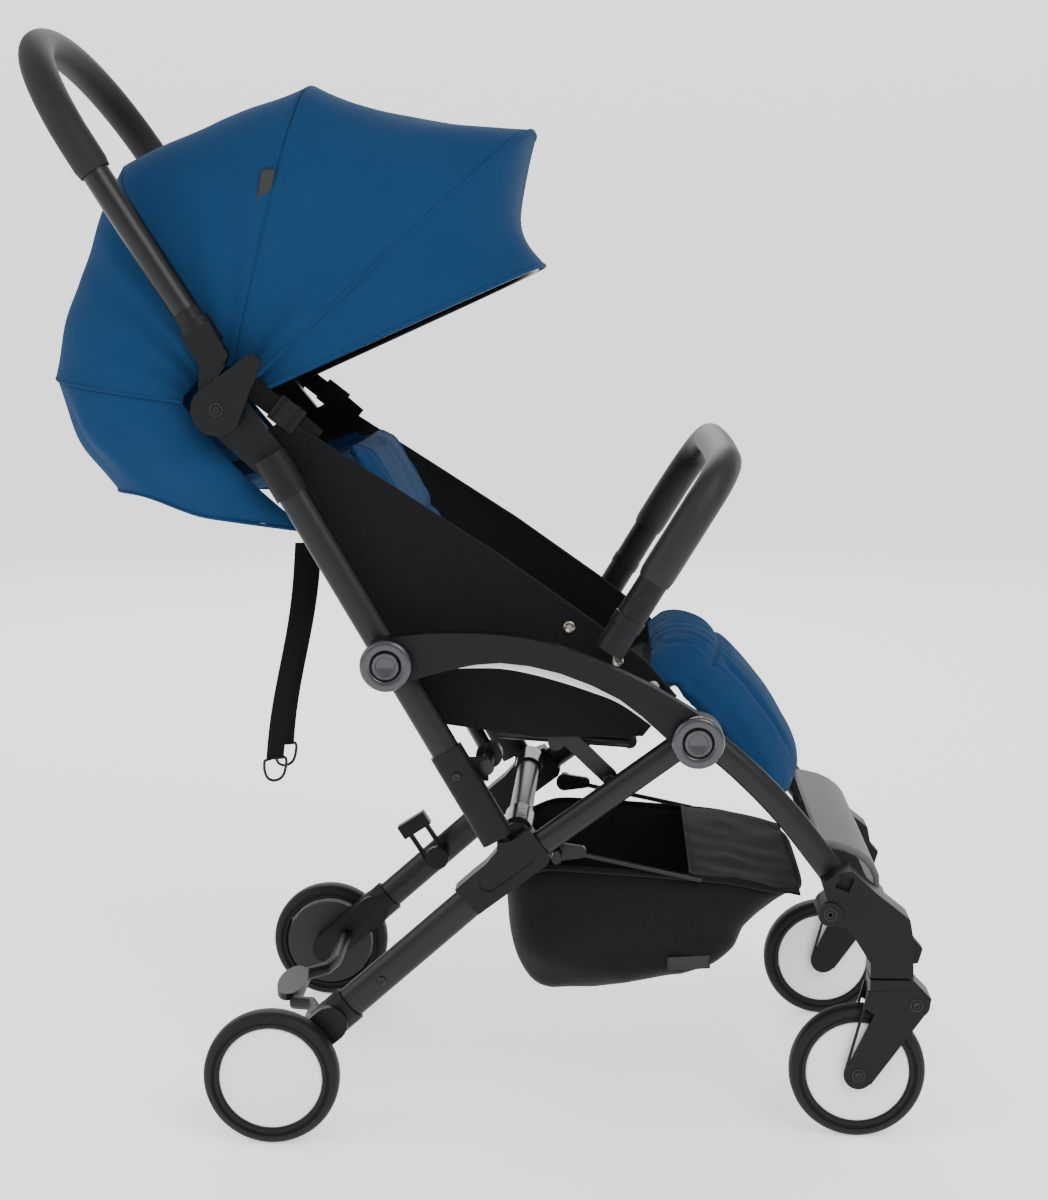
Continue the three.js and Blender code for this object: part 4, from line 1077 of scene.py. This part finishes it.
def basket_place(around, down):
    """A point of the bag: round its plan, and from the rim (0) over the bottom fold to its middle (1)."""
    turn, dip = 2 * math.pi * around, math.pi / 2 * down
    squared = [math.copysign(abs(w) ** 0.34, w) for w in (math.cos(turn), math.sin(turn))]
    reach = max(math.cos(dip), 0) ** 0.26
    depth = max(math.sin(dip), 0) ** 0.55
    x = BASKET_MIDDLE - 26 * depth + (BASKET_HALF_LENGTH - 33 * depth) * reach * squared[0]
    y = BASKET_HALF_WIDTH * (1 - 0.04 * depth) * reach * squared[1]
    z = side_height(BASKET_TOP, x) * (1 - depth) + side_height(BASKET_FLOOR, x) * depth
    loose = math.sin(math.pi * min(1, down * 1.25)) if down < 0.8 else 0.25
    ripple = noise.noise(Vector((x * 0.012, y * 0.012, z * 0.016))) * 10
    ripple += noise.noise(Vector((x * 0.035 + z * 0.02, y * 0.03, z * 0.012))) * 4.5
    z += noise.noise(Vector((x * 0.02, y * 0.02, 3))) * 7 * depth * (1 - reach * 0.4)
    p = at(x, y, z)
    out = Vector((squared[0] * 0.5, squared[1], -0.3)).normalized()
    return p + out * (ripple - 3) * loose / 1000


bag = cloth_grid("basket_bag", 144, 46, basket_place)
bm = bmesh.new()
bm.from_mesh(bag.data)
bmesh.ops.remove_doubles(bm, verts=bm.verts, dist=2e-5)
bmesh.ops.recalc_face_normals(bm, faces=bm.faces)
if max(bm.faces, key=lambda f: f.calc_center_median().y).normal.y < 0:
    bmesh.ops.reverse_faces(bm, faces=bm.faces)
bm.to_mesh(bag.data)
bm.free()
thickened(bag, 1.6)
dressed(bag, "rear_frame", "mesh", black, "basket")
bag.data.materials.append(heather.material)
bag.modifiers["cloth"].material_offset = 1


def lift_with_fold(piece):
    """Gives the piece its own copy of its mesh."""
    tuple(at(0, 0, 236))
    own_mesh(piece)


lift_with_fold(bag)
rim = [basket_place(k / 48, 0) for k in range(49)]
tube_along("basket_rim", rim, 3, "rear_frame", "black", black, 130)

COVER_FROM, COVER_LENGTH, COVER_HALF = 398, 106, 134


def front_cover(u, v):
    """The flat panel that closes the front of the bag, from side to side."""
    x = COVER_FROM + COVER_LENGTH * u
    sag = 6 * math.sin(math.pi * u) * math.sin(math.pi * v)
    loose = noise.noise(Vector((x, v * 300, 0)) / 40) * 2
    return at(x, COVER_HALF * (2 * v - 1), side_height(BASKET_TOP, x) + 3 - sag + loose)


cover = thickened(cloth_grid("basket_cover", 30, 60, front_cover), 1.4)
dressed(cover, "rear_frame", "black", black)
cover_edge = [front_cover(0, k / 20) for k in range(21)]
tube_along("basket_cover_hem", cover_edge, 1.8, "rear_frame", "black", black, 50)


def tag(name, corner, across, down, body, slot, finish):
    """A blank sewn-in tag: a small strip of ribbon that bows out a little from its seam."""
    out = across.cross(down).normalized() * 0.0012

    def place(u, v):
        return corner + across * u + down * v + out * math.sin(math.pi * v)

    return dressed(thickened(cloth_grid(name, 8, 10, place), 0.9), body, slot, finish)


label = Finish("label_black", (0.004, 0.004, 0.0045), 0.6)
label.bump(label.noise(0.0008, 2), 0.0001)
corner = basket_place(0.77, 0.44) + Vector((-0.02, -0.003, 0.004))
basket_label = tag("basket_label", corner, Vector((0.042, 0, 0.003)), Vector((0, 0.001, -0.014)),
                   "rear_frame", "black", label)
lift_with_fold(basket_label)
corner = canopy_point(76.5, 309, 0.83) + Vector((-0.001, -0.004, 0))
tag("canopy_tag", corner, Vector((-0.012, -0.002, 0)), Vector((-0.008, -0.002, -0.04)), "bow_top",
    "black", label)
for suffix, side in SIDES:
    softened(f"basket_rod_{suffix}", "rear_frame", enamel, 0.3)

# ---- Recline straps ----
# Two tails of black woven webbing that hang free behind the seat, each sewn round a steel D-ring.
# Pulling them down raises the backrest; they stay hanging as the frame folds.
STRAP_LENGTH = 226
STRAP_WIDTH, STRAP_THICK = 20, 1.8
STRAP_SWING = 8
D_RING = [(-12, 0), (-12, -10), (-8, -19), (0, -22), (8, -19), (12, -10), (12, 0), (0, 1.5)]
webbing = Finish("webbing", (0.0045, 0.0048, 0.0055), 0.75, Specular_IOR_Level=0.2)
webbing.bump(threads(webbing, "Z", (0, 0, 0), 260.0), 0.0003, 0.6)
for suffix, side in SIDES:
    top = at(12, side * 34, 553)
    swing = math.radians(STRAP_SWING)
    aside, below = -math.sin(swing) / 1000, -math.cos(swing) / 1000
    points = [top + Vector((aside * d + 0.003 * math.sin(d / 40), 0, below * d))
              for d in range(0, STRAP_LENGTH, 16)]
    hang = smooth_line(points, 40)
    strap = swept(f"recline_webbing_{suffix}", hang, STRAP_WIDTH, STRAP_THICK, 12, flat=(0.8, 0.6, 0),
                  rounded=0.5)
    dressed(strap, "straps", "black", webbing, f"recline_strap_{suffix}")
    bow = [points[-1] + Vector((0.8 * y, 0.6 * y, z)) / 1000 for y, z in D_RING]
    bow = smooth_line(bow + bow[:1], 60)
    d_ring = swept(f"strap_d_ring_{suffix}", bow, 3, 3, 10, flat=(0.6, -0.8, 0))
    dressed(d_ring, "straps", "paint", black_steel)
    [tuple(p) for p in hang]
